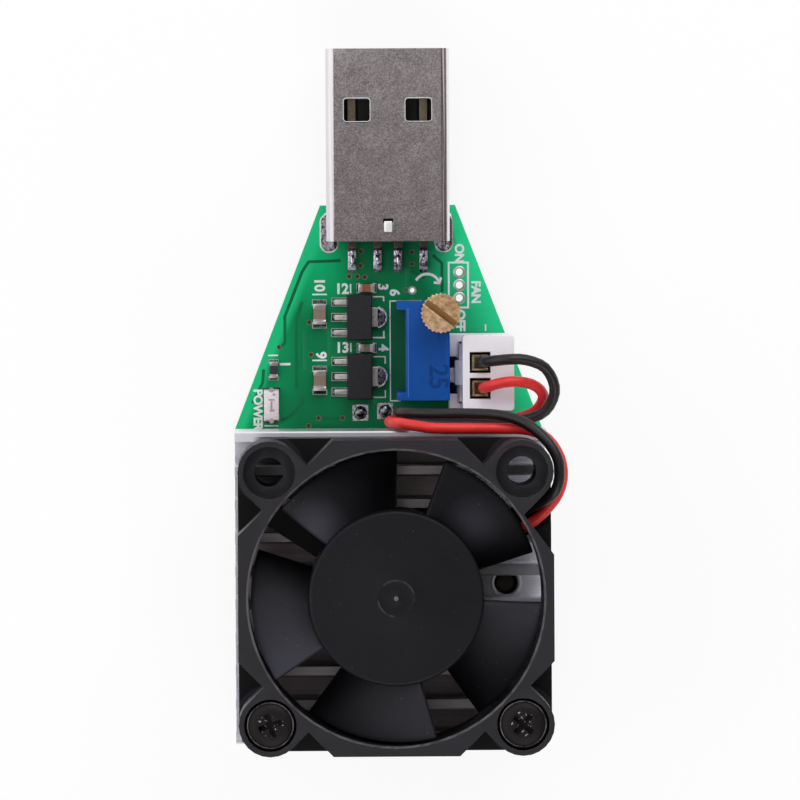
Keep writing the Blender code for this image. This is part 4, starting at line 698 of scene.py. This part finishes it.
leads = {
    "diameter": 1.06, "spacing": 0.7, "steps": 24,
    "black": [
        (9.05, 6.75, 9.7), (9.15, 6.78, 10.6), (9.95, 6.85, 11.75), (11.4, 7.0, 12.4), (13.1, 6.95, 12.25),
        (15.03, 6.1, 11.8), (15.92, 4.0, 11.1), (15.05, 1.98, 10.3), (13.1, 1.15, 9.7), (10.8, 1.08, 9.35),
        (8.0, 1.1, 9.2), (4.6, 1.15, 9.3), (2.5, 1.4, 9.75), (1.2, 1.8, 10.8), (0.85, 2.05, 12.4),
        (1.3, 2.05, 14.0), (2.6, 1.95, 15.2), (4.6, 1.9, 15.8), (7.5, 1.9, 16.2), (9.9, 1.8, 16.85),
        (11.8, 1.45, 17.6), (13.45, 0.65, 18.4), (14.95, -0.75, 19.0), (15.87, -2.3, 19.3), (16.05, -3.6, 19.4),
        (15.92, -4.8, 19.35), (15.2, -6.0, 19.0)],
    "red": [
        (9.05, 4.2, 9.7), (9.1, 4.22, 10.3), (9.6, 4.4, 11.35), (10.75, 4.75, 12.05), (12.3, 4.85, 11.9),
        (13.95, 4.45, 11.0), (14.85, 3.4, 9.7), (14.2, 2.0, 8.35), (12.5, 1.25, 7.6), (10.4, 1.08, 7.42),
        (8.0, 1.1, 7.4), (4.6, 1.1, 7.5), (2.3, 1.1, 7.8), (0.7, 1.08, 8.9), (0.0, 1.06, 11.0),
        (0.1, 1.02, 13.7), (1.0, 0.98, 15.4), (2.3, 0.8, 16.4), (4.2, 0.55, 16.85), (7.5, 0.5, 16.85),
        (10.6, 0.48, 16.8), (12.8, 0.4, 16.9), (14.4, -0.1, 17.05), (15.5, -1.1, 17.25), (16.25, -2.6, 17.5),
        (16.4, -4.3, 17.75), (15.9, -5.9, 17.8), (14.9, -7.2, 17.7)],
    "strut": {"angle": 30.0, "offset": 0.65, "z": 17.53, "radii": (14.95, 13.35, 11.2, 7.55)},
}


def smoothRoute(places, spacing):  # points at even steps along a Catmull-Rom curve through the places
    padded = [2 * places[0] - places[1]] + places + [2 * places[-1] - places[-2]]
    fine = []
    for i in range(1, len(padded) - 2):
        before, start, end, after = padded[i - 1:i + 3]
        for step in range(leads["steps"]):
            t = step / leads["steps"]
            fine.append(0.5 * (2 * start + (end - before) * t + (2 * before - 5 * start + 4 * end - after) * t ** 2
                               + (3 * start - before - 3 * end + after) * t ** 3))
    fine.append(places[-1])
    length = sum((b - a).length for a, b in zip(fine, fine[1:]))
    count = round(length / spacing)
    picked, travelled = [fine[0]], 0.0
    for a, b in zip(fine, fine[1:]):
        travelled += (b - a).length
        if travelled >= length / count * len(picked) and len(picked) < count:
            picked.append(b)
    return picked + [fine[-1]], length


def addLead(name, route, side, finish, nodeName):
    strut = leads["strut"]
    angle = math.radians(strut["angle"])
    outward = Vector((math.cos(angle), math.sin(angle), 0))
    across = Vector((-outward.y, outward.x, 0)) * strut["offset"] * side
    places = [Vector(place) for place in route]
    places += [Vector((*fan["centre"], strut["z"])) + outward * r + across for r in strut["radii"]]
    points, length = smoothRoute(places, leads["spacing"])
    lead, spline = addCurve(name, points, leads["diameter"] / 2, 6)
    spline.use_smooth = True
    lead.data.materials.append(finish.material)
    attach(lead, "load")
    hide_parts(nodeName)
    length * mm


def insulation(name, dark, light):
    skin = Finish(name, Specular_IOR_Level=0.38)
    return skin.coat(skin.mix(skin.noise(1.5), dark, light), skin.value(skin.noise(0.5), 0.3, 0.42),
                     skin.noise(0.35, 2.0), 0.12, 0.03)


blackSkin = insulation("blackInsulation", (0.006, 0.0045, 0.0055), (0.013, 0.0105, 0.012))
redSkin = insulation("redInsulation", (0.62, 0.018, 0.018), (0.88, 0.042, 0.04))
addLead("leadBlack", leads["black"], 1, blackSkin, "fan_lead_black")
addLead("leadRed", leads["red"], -1, redSkin, "fan_lead_red")
print("leads laid")


# White ink on the board

inkMarks = {
    "z": 0.012, "height": 0.02, "thin": 0.15, "wide": 0.26,
    "boxes": [((5.96, 16.25), (7.85, 11.85))],
    "lines": [
        [(-7.42, 13.2), (-5.97, 13.2)], [(-7.42, 6.75), (-6.0, 6.75)], [(-3.65, 14.2), (-3.65, 13.3)],
        [(-3.65, 8.43), (-3.65, 7.55)], [(-11.75, 7.26), (-10.78, 7.26)], [(-12.15, 0.38), (-10.8, 0.38)],
        [(-1.5, 12.95), (-0.42, 12.95), (-0.42, 12.5)], [(-1.5, 8.95), (-0.3, 8.95)], [(-0.42, 8.95), (-0.42, 9.6)],
        [(-1.5, 7.08), (-0.3, 7.08), (-0.3, 6.4)], [(-1.5, 3.1), (-0.3, 3.1), (-0.3, 3.8)],
        [(3.3, 12.52), (0.2, 12.52), (0.2, 2.76), (1.2, 2.76)], [(9.54, 10.2), (9.54, 9.55)],
    ],
    "arc": {"centre": (3.85, 13.9), "radius": 1.25, "from": 150, "to": 15, "step": 9,
            "head": [(-0.55, 0.1), (0, 0), (0.15, 0.6)]},
    "words": [
        ("10", -6.72, 14.15, 1.4, -90), ("9", -6.6, 7.25, 1.4, -90), ("12", -4.5, 13.7, 1.4, 0),
        ("13", -4.5, 7.95, 1.4, 0), ("3", -0.52, 13.9, 1.35, -90), ("4", -0.5, 7.95, 1.35, -90),
        ("6", 0.62, 13.35, 1.35, -90), ("1", -10.15, 6.4, 1.4, -90), ("ON", 6.98, 17.15, 1.2, -90),
        ("OFF", 7.05, 10.6, 1.25, -90), ("FAN", 8.58, 13.35, 1.2, -90), ("POWER", -12.8, 1.95, 1.2, -90),
    ],
}


def inkLine(points, width, closed=False):
    return addLine(points, inkMarks[width], inkMarks["height"], inkMarks["z"], closed)


def addInk():
    marks = []
    for (x0, y0), (x1, y1) in inkMarks["boxes"]:
        marks.append(inkLine([(x0, y0), (x1, y0), (x1, y1), (x0, y1)], "wide", True))
    marks += [inkLine(line, "thin") for line in inkMarks["lines"]]
    arc = inkMarks["arc"]
    bend = [(arc["centre"][0] + arc["radius"] * math.cos(math.radians(a)),
             arc["centre"][1] + arc["radius"] * math.sin(math.radians(a)))
            for a in range(arc["from"], arc["to"] - 1, -arc["step"])]
    x, y = bend[-1]
    marks += [inkLine(bend, "wide"), inkLine([(x + dx, y + dy) for dx, dy in arc["head"]], "wide")]
    for word, x, y, size, turn in inkMarks["words"]:
        marks.append(addText(word, x, y, inkMarks["z"], size, math.radians(turn)))
    finishPiece(join("boardInk", marks), ink)


addInk()
print("ink printed")


# Copper under the mask: gaps between the poured areas, traces and vias

traces = {
    "gapWidth": 0.3, "gapHeight": 0.012, "gapLevel": 0.006,
    "gaps": [
        [(-4.6, 16.5), (-7.75, 16.4), (-8.4, 15.4), (-9.75, 11.95)],
        [(2.4, 16.6), (2.4, 15.4), (3.6, 14.8)], [(5.3, 13.4), (5.3, 16.2), (4.4, 17.0)],
    ],
    "faint": [
        [(-9.75, 11.95), (-10.1, 11.05), (-10.1, 8.5), (-10.6, 8.0)], [(-8.4, 12.5), (-9.0, 10.6), (-9.0, 4.0)],
        [(-8.4, 3.1), (-8.4, 2.6), (-9.6, 1.3), (-10.5, 0.9)], [(-7.8, 0.35), (-3.6, 0.32)], [(-6.8, 1.1), (-4.5, 1.1)],
        [(-12.2, 5.9), (-12.3, 4.6), (-13.3, 2.6)],
    ],
    "bare": ((0.3, 2.85, 0.0), (1.75, 12.45, 0.01)), "bareBevel": 0.004,
    "riseWidth": 0.5, "riseHeight": 0.03, "riseLevel": 0.008,
    "rises": [
        [(-5.7, 9.9), (-5.7, 6.2)], [(-1.1, 2.6), (-2.0, 3.4)], [(-8.1, 9.6), (-8.1, 5.8)], [(1.9, 15.7), (1.9, 13.4)],
    ],
    "vias": [
        (-10.65, 8.06), (-7.55, 7.31), (-7.7, 10.48), (-3.77, 14.94), (-2.97, 14.94), (-2.24, 14.87), (-2.6, 17.4),
        (-2.65, 15.99), (2.37, 16.14), (2.37, 17.3), (1.77, 13.6), (-6.83, 1.1), (-4.51, 1.1), (-7.81, 0.35),
    ],
    "via": {"radius": 0.26, "top": 0.028, "ring": 0.11, "drop": 0.02, "dark": 0.018},
}


def addVia(x, y):
    via = traces["via"]
    ring = addRod(x, y, 0.0, via["top"], via["radius"], 16)
    insetTop(ring, via["ring"])
    bpy.ops.transform.translate(value=(0, 0, -via["drop"] * mm))
    leaveEdit()
    return ring


def addCopper():
    kinds = {kind: [addLine(line, traces[size + "Width"], traces[size + "Height"], traces[size + "Level"])
                    for line in traces[kind]] for kind, size in (("gaps", "gap"), ("faint", "gap"), ("rises", "rise"))}
    kinds["gaps"].append(addBlock(*traces["bare"], traces["bareBevel"], 1))
    viaMetal = Finish("viaMetal", metallic=0.0, roughness=0.45)
    # the sunk middle is painted dark: painted shade for the open hole
    sunk = viaMetal.axis("Z") < traces["via"]["dark"]
    viaMetal.set("Base Color", viaMetal.mix(sunk, (0.22, 0.17, 0.07), (0.01, 0.022, 0.012)))
    kinds["vias"] = [addVia(x, y) for x, y in traces["vias"]]
    for name, kind, finish in (("maskGaps", "gaps", traceGreen), ("maskLines", "faint", faintGreen),
                               ("maskRises", "rises", copperRise), ("vias", "vias", viaMetal)):
        finishPiece(join(name, kinds[kind]), finish)


addCopper()
print("copper laid")


# Solder: pads and fillets at each part, mounds on the pads, cones under the board

padMarks = {
    "rise": 0.03, "side": 0.12, "bevel": 0.012, "under": 0.25, "rim": 0.14, "rimHeight": 0.09,
    "fillet": {"inset": 0.05, "gap": 0.01, "reach": 0.75, "height": 0.62, "foot": 0.05, "bevel": 0.035},
    "reach": {"capacitor_1": 0.46, "capacitor_2": 0.46, "capacitor_3": 0.2, "capacitor_4": 0.2, "resistor": 0.26,
              "power_lamp": 0.16},
}
tabPool = {"shift": -0.92, "radius": 0.93, "ring": 1.08, "top": 0.64, "tab": -0.7, "dome": 0.09}
legSolder = {"rows": (-1.5, 0.0, 1.5), "pad": (-0.34, 1.35, 0.46), "mound": (0.26, 0.22, 1.2)}
plugPools = {"x": (-5.72, 5.5), "y": (17.25, 21.15), "ring": 0.93, "pool": 0.8, "slope": 0.6}
leadPads = {"places": ((-2.75, 1.61), (-0.33, 1.76)), "half": (0.78, 0.8), "mound": (0.66, 0.45, 1.02)}
pinPads = {"x": (-0.36, 0.4), "y": (-0.28, 2.3), "mounds": [  # x, lean, y, radius, height, stretch, turn, lean's turn
    (0.02, 0.0, 0.95, 0.33, 0.74, 2.5, 0.0, 0.1), (0.0, 0.1, 0.18, 0.25, 0.4, 1.3, 0.0, 0.0),
    (0.0, -0.05, 1.75, 0.31, 0.66, 1.2, -0.06, 0.0)]}
holeRings = [  # profile, sides, places
    ([(0.4, 0.0), (0.42, 0.03), (0.56, 0.03), (0.6, 0.0)], 24, [(7.0, 12.78), (7.0, 14.05), (7.0, 15.32)]),
    ([(0.27, 0.0), (0.29, 0.03), (0.4, 0.03), (0.42, 0.0)], 20, [(2.4, 13.55)])]
underCones = {"height": 1.05, "board": 1.6, "rows": [  # x, middle y, pitch, radius
    (3.29, 7.8, 2.54, (-1, 0, 1), 0.62), (8.75, 5.4, 1.25, (-1, 1), 0.75), (-6.1, -14.75, 2.54, (-1, 0, 1), 0.8)]}
rimStarts = {(0, 1): 0, (1, 1): 1, (0, -1): 2, (1, -1): 3}  # the rim's first corner, by axis and end
joints, pinJoints, rims, pools = [], [], [], []
touching = 1e-7  # metres


def addFillet(low, high, side, index):  # a wedge that climbs the part's end
    fillet = addBlock(low, high)
    top = max(v.co.z for v in fillet.data.vertices)
    ends = [v.co[index] for v in fillet.data.vertices]
    outer = max(ends) if side > 0 else min(ends)
    for vertex in fillet.data.vertices:
        if abs(vertex.co[index] - outer) < touching and abs(vertex.co.z - top) < touching:
            vertex.co.z = at(0, 0, padMarks["fillet"]["foot"]).z
    bevelEdges(fillet, padMarks["fillet"]["bevel"], 2)
    return fillet


def addRim(low, high, index, side):  # the lit edge of the solder, open toward the part
    points = [(low[0], low[1]), (high[0], low[1]), (high[0], high[1]), (low[0], high[1])]
    first = rimStarts[index, side]
    inset = padMarks["rim"] / 2
    middle = [(low[0] + high[0]) / 2, (low[1] + high[1]) / 2]
    loop = [tuple(value - math.copysign(inset, value - centre) for value, centre in zip(point, middle))
            for point in (points * 2)[first:first + 4]]
    return addLine(loop, padMarks["rim"], padMarks["rimHeight"], padMarks["rise"] + 0.01)


def addPad(low, high):
    return addBlock((*low, 0.0), (*high, padMarks["rise"]), padMarks["bevel"], 1)


def addChipSolder(name, axis):
    low, high = boardBox(name)
    index, reach, side, fillet = "XY".index(axis), padMarks["reach"][name], padMarks["side"], padMarks["fillet"]
    for facing in (-1, 1):
        end = high[index] if facing > 0 else low[index]
        padLow, padHigh = [low[0] - side, low[1] - side], [high[0] + side, high[1] + side]
        padLow[index], padHigh[index] = sorted((end - facing * padMarks["under"], end + facing * reach))
        pools.append(addPad(padLow, padHigh))
        if name != "power_lamp":
            rims.append(addRim(padLow, padHigh, index, facing))
        inset = fillet["inset"]
        wedgeLow, wedgeHigh = [low[0] + inset, low[1] + inset], [high[0] - inset, high[1] - inset]
        wedgeLow[index], wedgeHigh[index] = sorted((end + facing * fillet["gap"],
                                                    end + facing * reach * fillet["reach"]))
        pools.append(addFillet((*wedgeLow, 0.0), (*wedgeHigh, high[2] * fillet["height"]), facing, index))


def addRegulatorSolder(name):
    low, high = boardBox(name)
    middle = (low[1] + high[1]) / 2
    start, end, half = legSolder["pad"]
    for row in legSolder["rows"]:
        rims.append(addRim((low[0] + start, middle + row - half), (low[0] + end, middle + row + half), 0, -1))
        pools.append(addMound(low[0] - 0.02, middle + row, 0.0, *legSolder["mound"]))
    centre, cutAt = high[0] + tabPool["shift"], high[0] + tabPool["tab"]
    ring = addRod(centre, middle, 0.0, tabPool["top"], tabPool["ring"], 36)
    pool = addMound(centre + 0.03, middle, tabPool["top"] - 0.01, tabPool["radius"], tabPool["dome"], sides=32)
    for piece in (ring, pool):
        cutAway(piece, at(cutAt, 0), (1, 0, 0))
    pools.append(pool)
    joints.append(ring)


def addStadium(x, y0, y1, radius, high, bevel):  # a flat pool with round ends
    pool = addRod(x, (y0 + y1) / 2, 0.0, high, radius, 40)
    middle = at(x, (y0 + y1) / 2).y
    shift = (abs(y1 - y0) / 2 - radius) * mm
    for vertex in pool.data.vertices:
        vertex.co.y += math.copysign(shift, vertex.co.y - middle)
    editMode(pool)
    bpy.ops.mesh.dissolve_limited(angle_limit=math.radians(1))
    leaveEdit()
    insetTop(pool, bevel, bevel * plugPools["slope"])
    leaveEdit()
    return pool


def addPlugPools(radius, height, bevel):
    rim = plugPools["ring"] - radius
    low, high = plugPools["y"]
    return [addStadium(x, low + rim, high - rim, radius, height, bevel) for x in plugPools["x"]]


def addPadJoints():
    halfX, halfY = leadPads["half"]
    for x, y in leadPads["places"]:
        joints.append(addPad((x - halfX, y - halfY), (x + halfX, y + halfY)))
    for number in (1, 2, 3, 4):
        low, high = boardBox(f"usb_contact_{number}")
        x = (low[0] + high[0]) / 2
        lean = -1 if number in (1, 4) else 1
        pools.append(addPad((x + pinPads["x"][0], low[1] + pinPads["y"][0]),
                            (x + pinPads["x"][1], low[1] + pinPads["y"][1])))
        for dx, leanX, dy, radius, height, stretch, turn, leanTurn in pinPads["mounds"]:
            pinJoints.append(addMound(x + dx + leanX * lean, low[1] + dy, 0.02, radius, height, stretch,
                                      turn + leanTurn * lean))


def addUnderCones():
    zero = Matrix.Translation(at(0, 0, 0))
    down = Matrix.Translation((0, 0, -underCones["board"] * mm))
    for x, y, pitch, rows, radius in underCones["rows"]:
        for row in rows:
            cone = addMound(x, y + row * pitch, 0.0, radius, underCones["height"])
            cone.data.transform(down @ zero @ Matrix.Scale(-1, 4, (0, 0, 1)) @ zero.inverted())
            editMode(cone)
            bpy.ops.mesh.normals_make_consistent(inside=False)
            leaveEdit()
            joints.append(cone)


for name, (axis, *_) in chips.items():
    addChipSolder(name, axis)
for name in ("regulator_1_leads", "regulator_2_leads"):
    addRegulatorSolder(name)
addPadJoints()
addUnderCones()
pools += addPlugPools(plugPools["pool"], 0.05, 0.22)
pools += [addMound(x, y, 0.02, *leadPads["mound"]) for x, y in leadPads["places"]]
rings = addPlugPools(plugPools["ring"], 0.02, 0.02)
rings += [addLathe(profile, at(*spot), sides) for profile, sides, spots in holeRings for spot in spots]
for name, made, finish in (("solderJoints", joints, solder), ("pinSolder", pinJoints, pinSolder),
                           ("solderPools", pools, darkReflectionSolder), ("padRings", rings, padTin),
                           ("solderRims", rims, brightSolder)):
    finishPiece(join(name, made), finish)
print("solder flowed")


# Rotor: a turned hub with five blades, twisted and thin at their edges

rotor = {
    "base": 15.6, "front": 9.8, "rim": 2.9, "radius": 8.35, "wall": 0.55, "ceiling": 8.9, "boss": (1.9, 7.6),
    "bore": 0.95, "edge": 0.35, "rounding": 0.12,
    "blades": 5, "start": 17.5, "span": 52.5, "root": 8.1, "tip": 13.8, "low": 3.2, "high": 9.2, "rise": 0.85,
    "thickness": 0.5, "steps": (36, 12),
    "mark": [(0.0, 0.05), (0.2, 0.06), (0.3, 0.005), (1.55, 0.0), (1.66, 0.035), (1.8, 0.035), (1.92, 0.0)],
}


def addHub():
    radius, wall, front, edge = rotor["radius"], rotor["wall"], rotor["front"], rotor["edge"]
    curve = [(radius - edge + edge * math.sin(a * math.pi / 12), front - edge + edge * math.cos(a * math.pi / 12))
             for a in range(7)]
    inside = [(radius, rotor["rim"]), (radius - wall, rotor["rim"]), (radius - wall, rotor["ceiling"]),
              (rotor["boss"][0], rotor["ceiling"]), rotor["boss"], (rotor["bore"], rotor["boss"][1]),
              (rotor["bore"], rotor["ceiling"] + 0.2), (0.0, rotor["ceiling"] + 0.2)]
    mark = [(r, front + rise) for r, rise in rotor["mark"]]
    return addLathe(mark + curve + inside, at(*fan["centre"], rotor["base"]), 96)


def addBlade(turn):
    selectOnly()
    chord, reach = rotor["steps"]
    bpy.ops.mesh.primitive_grid_add(x_subdivisions=chord, y_subdivisions=reach, size=1.0, location=(0, 0, 0))
    blade = bpy.context.object
    for vertex in blade.data.vertices:
        share, out = vertex.co.x + 0.5, vertex.co.y + 0.5
        radius = rotor["root"] + (rotor["tip"] - rotor["root"]) * out
        angle = math.radians(rotor["start"] + rotor["span"] * share) + turn
        height = rotor["low"] + (rotor["high"] - rotor["low"]) * share ** rotor["rise"]
        vertex.co = at(fan["centre"][0] + radius * math.cos(angle), fan["centre"][1] + radius * math.sin(angle),
                       rotor["base"] + height)
    applyModifier(blade, "SOLIDIFY", thickness=rotor["thickness"] * mm, offset=0.0)
    applyModifier(blade, "BEVEL", width=rotor["rounding"] * mm, segments=2, limit_method="ANGLE",
                  angle_limit=math.radians(60))
    return blade


parts = [addHub()] + [addBlade(2 * math.pi * number / rotor["blades"]) for number in range(rotor["blades"])]
wholeRotor = join("rotorWhole", parts)
finishPiece(wholeRotor, rotorPlastic, body="fan_impeller")
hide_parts("fan_rotor")
print("rotor made")


# Shell: painted highlight lines round the windows' cut edges, and a painted glint on the bent tab at the rear

shellMarks = {"windows": [(-3.0, 31.2), (3.0, 31.2)], "size": (2.6, 2.3), "corner": 0.3, "top": 4.7, "rim": 0.06,
              "height": 0.03, "tab": ((-0.4, 19.3, 4.56), (0.4, 20.36, 4.82)), "tabBevel": 0.1}


def roundedLoop(cx, cy, width, depth, corner):
    loop = []
    for quarter, (sx, sy) in enumerate(((1, 1), (-1, 1), (-1, -1), (1, -1))):
        for step in range(5):
            angle = math.pi / 2 * quarter + math.pi / 8 * step
            loop.append((cx + sx * (width / 2 - corner) + corner * math.cos(angle),
                         cy + sy * (depth / 2 - corner) + corner * math.sin(angle)))
    return loop


def addShellMarks():
    shape = shellMarks
    marks = [addLine(roundedLoop(*middle, *shape["size"], shape["corner"]), shape["rim"], shape["height"],
                     shape["top"], closed=True) for middle in shape["windows"]]
    marks.append(addBlock(*shape["tab"], shape["tabBevel"], 3))
    finishPiece(join("shellRims", marks), glintNickel)


# near-white and little metallic: a painted highlight for the window rims, the tab and the countersink
glintNickel = metalFinish("glintNickel", (0.84, 0.82, 0.82), (0.97, 0.96, 0.96), 0.3, 0.22)
glintNickel.set("Metallic", glintNickel.value(glintNickel.noise(0.3), 0.2, 0.5))
addShellMarks()


# Heatsink: a painted highlight on the countersink of the fixing hole, with a dark inner lip

sink = {"profile": [(0.8, -2.7), (0.86, -2.6), (1.17, -2.5), (1.13, -0.25), (1.22, -0.02), (1.28, 0.03), (1.46, 0.03),
                    (1.5, 0.0)], "place": (11.2, -14.75, 8.32)}
finishPiece(addLathe(sink["profile"], at(*sink["place"]), 40), glintNickel)


# Trimmer: plain digits pressed into its top and the lit lip of its recess; and two beads at the plug's foot

pressed = {
    "word": "25", "place": (4.65, 5.3), "size": 2.6, "turn": -90, "thickness": 0.006,
    "lip": [(1.8, 3.35), (1.8, 11.95)], "lipWidth": 0.12, "lipHeight": 0.04,
    "beads": [[(7.3, 8.68), (6.67, 8.68), (6.67, 6.95)], [(6.67, 4.35), (6.67, 2.62), (7.3, 2.62)]],
    "beadWidth": 0.22, "beadHeight": 0.4, "beadTop": 6.95,
}


def addPressed():
    top = boardBox("trimmer_body")[1][2]
    word = addText(pressed["word"], *pressed["place"], top + 0.004, pressed["size"], math.radians(pressed["turn"]),
                   pressed["thickness"])
    finishPiece(word, pressedBlue)
    lip = addLine(pressed["lip"], pressed["lipWidth"], pressed["lipHeight"], top - 0.01)
    finishPiece(lip, lipBlue)
    beads = [addLine(line, pressed["beadWidth"], pressed["beadHeight"], pressed["beadTop"])
             for line in pressed["beads"]]
    finishPiece(join("plugBeads", beads), nylon)


pressedBlue = plasticFinish("pressedBlue", (0.0015, 0.03, 0.15), (0.004, 0.06, 0.26), 0.4, 0.4, 0.2, 0.3)
lipBlue = plasticFinish("lipBlue", (0.03, 0.12, 0.42), (0.06, 0.2, 0.62), 0.8, 0.35, 0.3, 0.3)
addPressed()


# Lamp: a clear lens over its dark die and wires, with a notch in each end

lamp = {
    "wall": 0.03, "end": 0.14, "rise": 0.05, "sunk": 0.05, "bevel": 0.04, "notch": 0.24, "notchIn": 0.05,
    "bars": [(0.0, 0.0, 0.1, 0.42), (0.0, 0.55, 0.3, 0.08), (0.06, -0.5, 0.24, 0.1), (0.26, 1.06, 0.12, 0.12)],
    "barFrom": -0.02, "barTo": 0.015, "barBevel": 0.012,
}


def addLamp():
    low, high = boardBox("power_lamp")
    wall, end, top = lamp["wall"], lamp["end"], high[2] + lamp["rise"]
    lens = addBlock((low[0] + wall, low[1] + end, high[2] - lamp["sunk"]), (high[0] - wall, high[1] - end, top),
                    lamp["bevel"])
    finishPiece(lens, lensFinish)
    middle, marks = ((low[0] + high[0]) / 2, (low[1] + high[1]) / 2), []
    for dx, dy, halfX, halfY in lamp["bars"]:
        x, y = middle[0] + dx, middle[1] + dy
        marks.append(addBlock((x - halfX, y - halfY, top + lamp["barFrom"]),
                              (x + halfX, y + halfY, top + lamp["barTo"]), lamp["barBevel"], 1))
    for y in (low[1] + lamp["notchIn"], high[1] - lamp["notchIn"]):
        marks.append(addRod(middle[0], y, high[2] - 0.2, top + 0.012, lamp["notch"], 20))
    finishPiece(join("lampMarks", marks), dieFinish)


lensFinish = plasticFinish("lens", (0.58, 0.5, 0.52), (0.9, 0.84, 0.86), 0.3, 0.2, 0.5, 0.4)
dieFinish = plasticFinish("lampDie", (0.26, 0.18, 0.2), (0.52, 0.42, 0.45), 0.2, 0.4, 0.3, 0.4)
addLamp()
print("small marks made")


# Studio

studio = {
    "focal": 368.0, "sensor": 36.0, "clip": (0.01, 10.0), "roll": -0.3,
    "cameraBoard": (-10.7, 23.5, 800.0), "aimBoard": (1.13, 2.83, 0.0),
    "floorSize": 3.0, "floorDrop": 0.0002, "floorTone": 0.86, "floorGlow": 0.86,
    "worldLeft": 0.9, "worldRight": 0.38, "worldTop": 0.2, "worldSides": (-0.6, 0.6), "worldHeights": (0.45, 0.97),
    "lamps": [
        {"place": (-0.42, 0.1, 0.5), "size": 0.8, "power": 1.9},
        {"place": (0.16, 0.5, 0.45), "size": 0.5, "power": 2.2},
        {"place": (0.1, -0.45, 0.5), "size": 0.5, "power": 1.6},
    ],
}


def addCamera():
    data = bpy.data.cameras.new("camera")
    data.lens, data.sensor_width = studio["focal"], studio["sensor"]
    data.clip_start, data.clip_end = studio["clip"]
    camera = addObject("camera", data)
    eye, aim = at(*studio["cameraBoard"]), at(*studio["aimBoard"])
    back = (eye - aim).normalized()
    right = Vector((0, 1, 0)).cross(back).normalized()
    turned = Matrix((right, back.cross(right), back)).transposed().to_4x4()
    camera.matrix_world = Matrix.Translation(eye) @ turned @ Matrix.Rotation(math.radians(studio["roll"]), 4, "Z")
    bpy.context.scene.camera = camera


def addFloor():  # white to the camera and in reflections
    selectOnly()
    bpy.ops.mesh.primitive_plane_add(size=studio["floorSize"], location=(0, 0, -studio["floorDrop"]))
    floor = settle(bpy.context.object)
    floor.name = "floor"
    paper = Finish("floorPaper", (studio["floorTone"],) * 3, 0.9)
    seen = paper.node("LightPath", output="Is Camera Ray") | paper.node("LightPath", output="Is Glossy Ray")
    glow = paper.node("Emission", None, {"Color": (1.0, 1.0, 1.0), "Strength": 1.0})
    plain = Wire(paper, paper.shader.outputs[0])
    mixed = paper.node("MixShader", None, {0: seen * studio["floorGlow"], 1: plain, 2: glow})
    paper.feed(paper.tree.nodes["Material Output"].inputs["Surface"], mixed)
    floor.data.materials.append(paper.material)


def addWorld():  # light from the sides, stronger from the left, and white to the camera
    world = bpy.data.worlds.new("studio")
    world.use_nodes = True
    bpy.context.scene.world = world
    sky = Graph(world.node_tree)
    direction = sky.node("TexCoord", output="Generated")
    x, z = (sky.node("SeparateXYZ", None, [direction], output=name) for name in "XZ")
    side = sky.value(x, studio["worldLeft"], studio["worldRight"], *studio["worldSides"])
    level = sky.value(z, side, studio["worldTop"], *studio["worldHeights"], interpolation_type="SMOOTHSTEP")
    seen = sky.node("Mix", None, {0: sky.node("LightPath", output="Is Camera Ray"), 2: level, 3: 1.0})
    background = sky.tree.nodes["Background"]
    sky.feed(background.inputs["Strength"], seen)
    sky.feed(background.inputs["Color"], (1.0, 1.0, 1.0))


def addLamps():
    for values in studio["lamps"]:
        data = bpy.data.lights.new("lamp", "AREA")
        data.size = values["size"]
        data.energy = values["power"]
        light = addObject("lamp", data)
        light.location = values["place"]
        light.rotation_euler = Vector(values["place"]).to_track_quat("Z", "Y").to_euler()


addCamera()
addFloor()
addWorld()
addLamps()
bpy.context.scene.view_settings.view_transform = "Standard"
print("studio set")
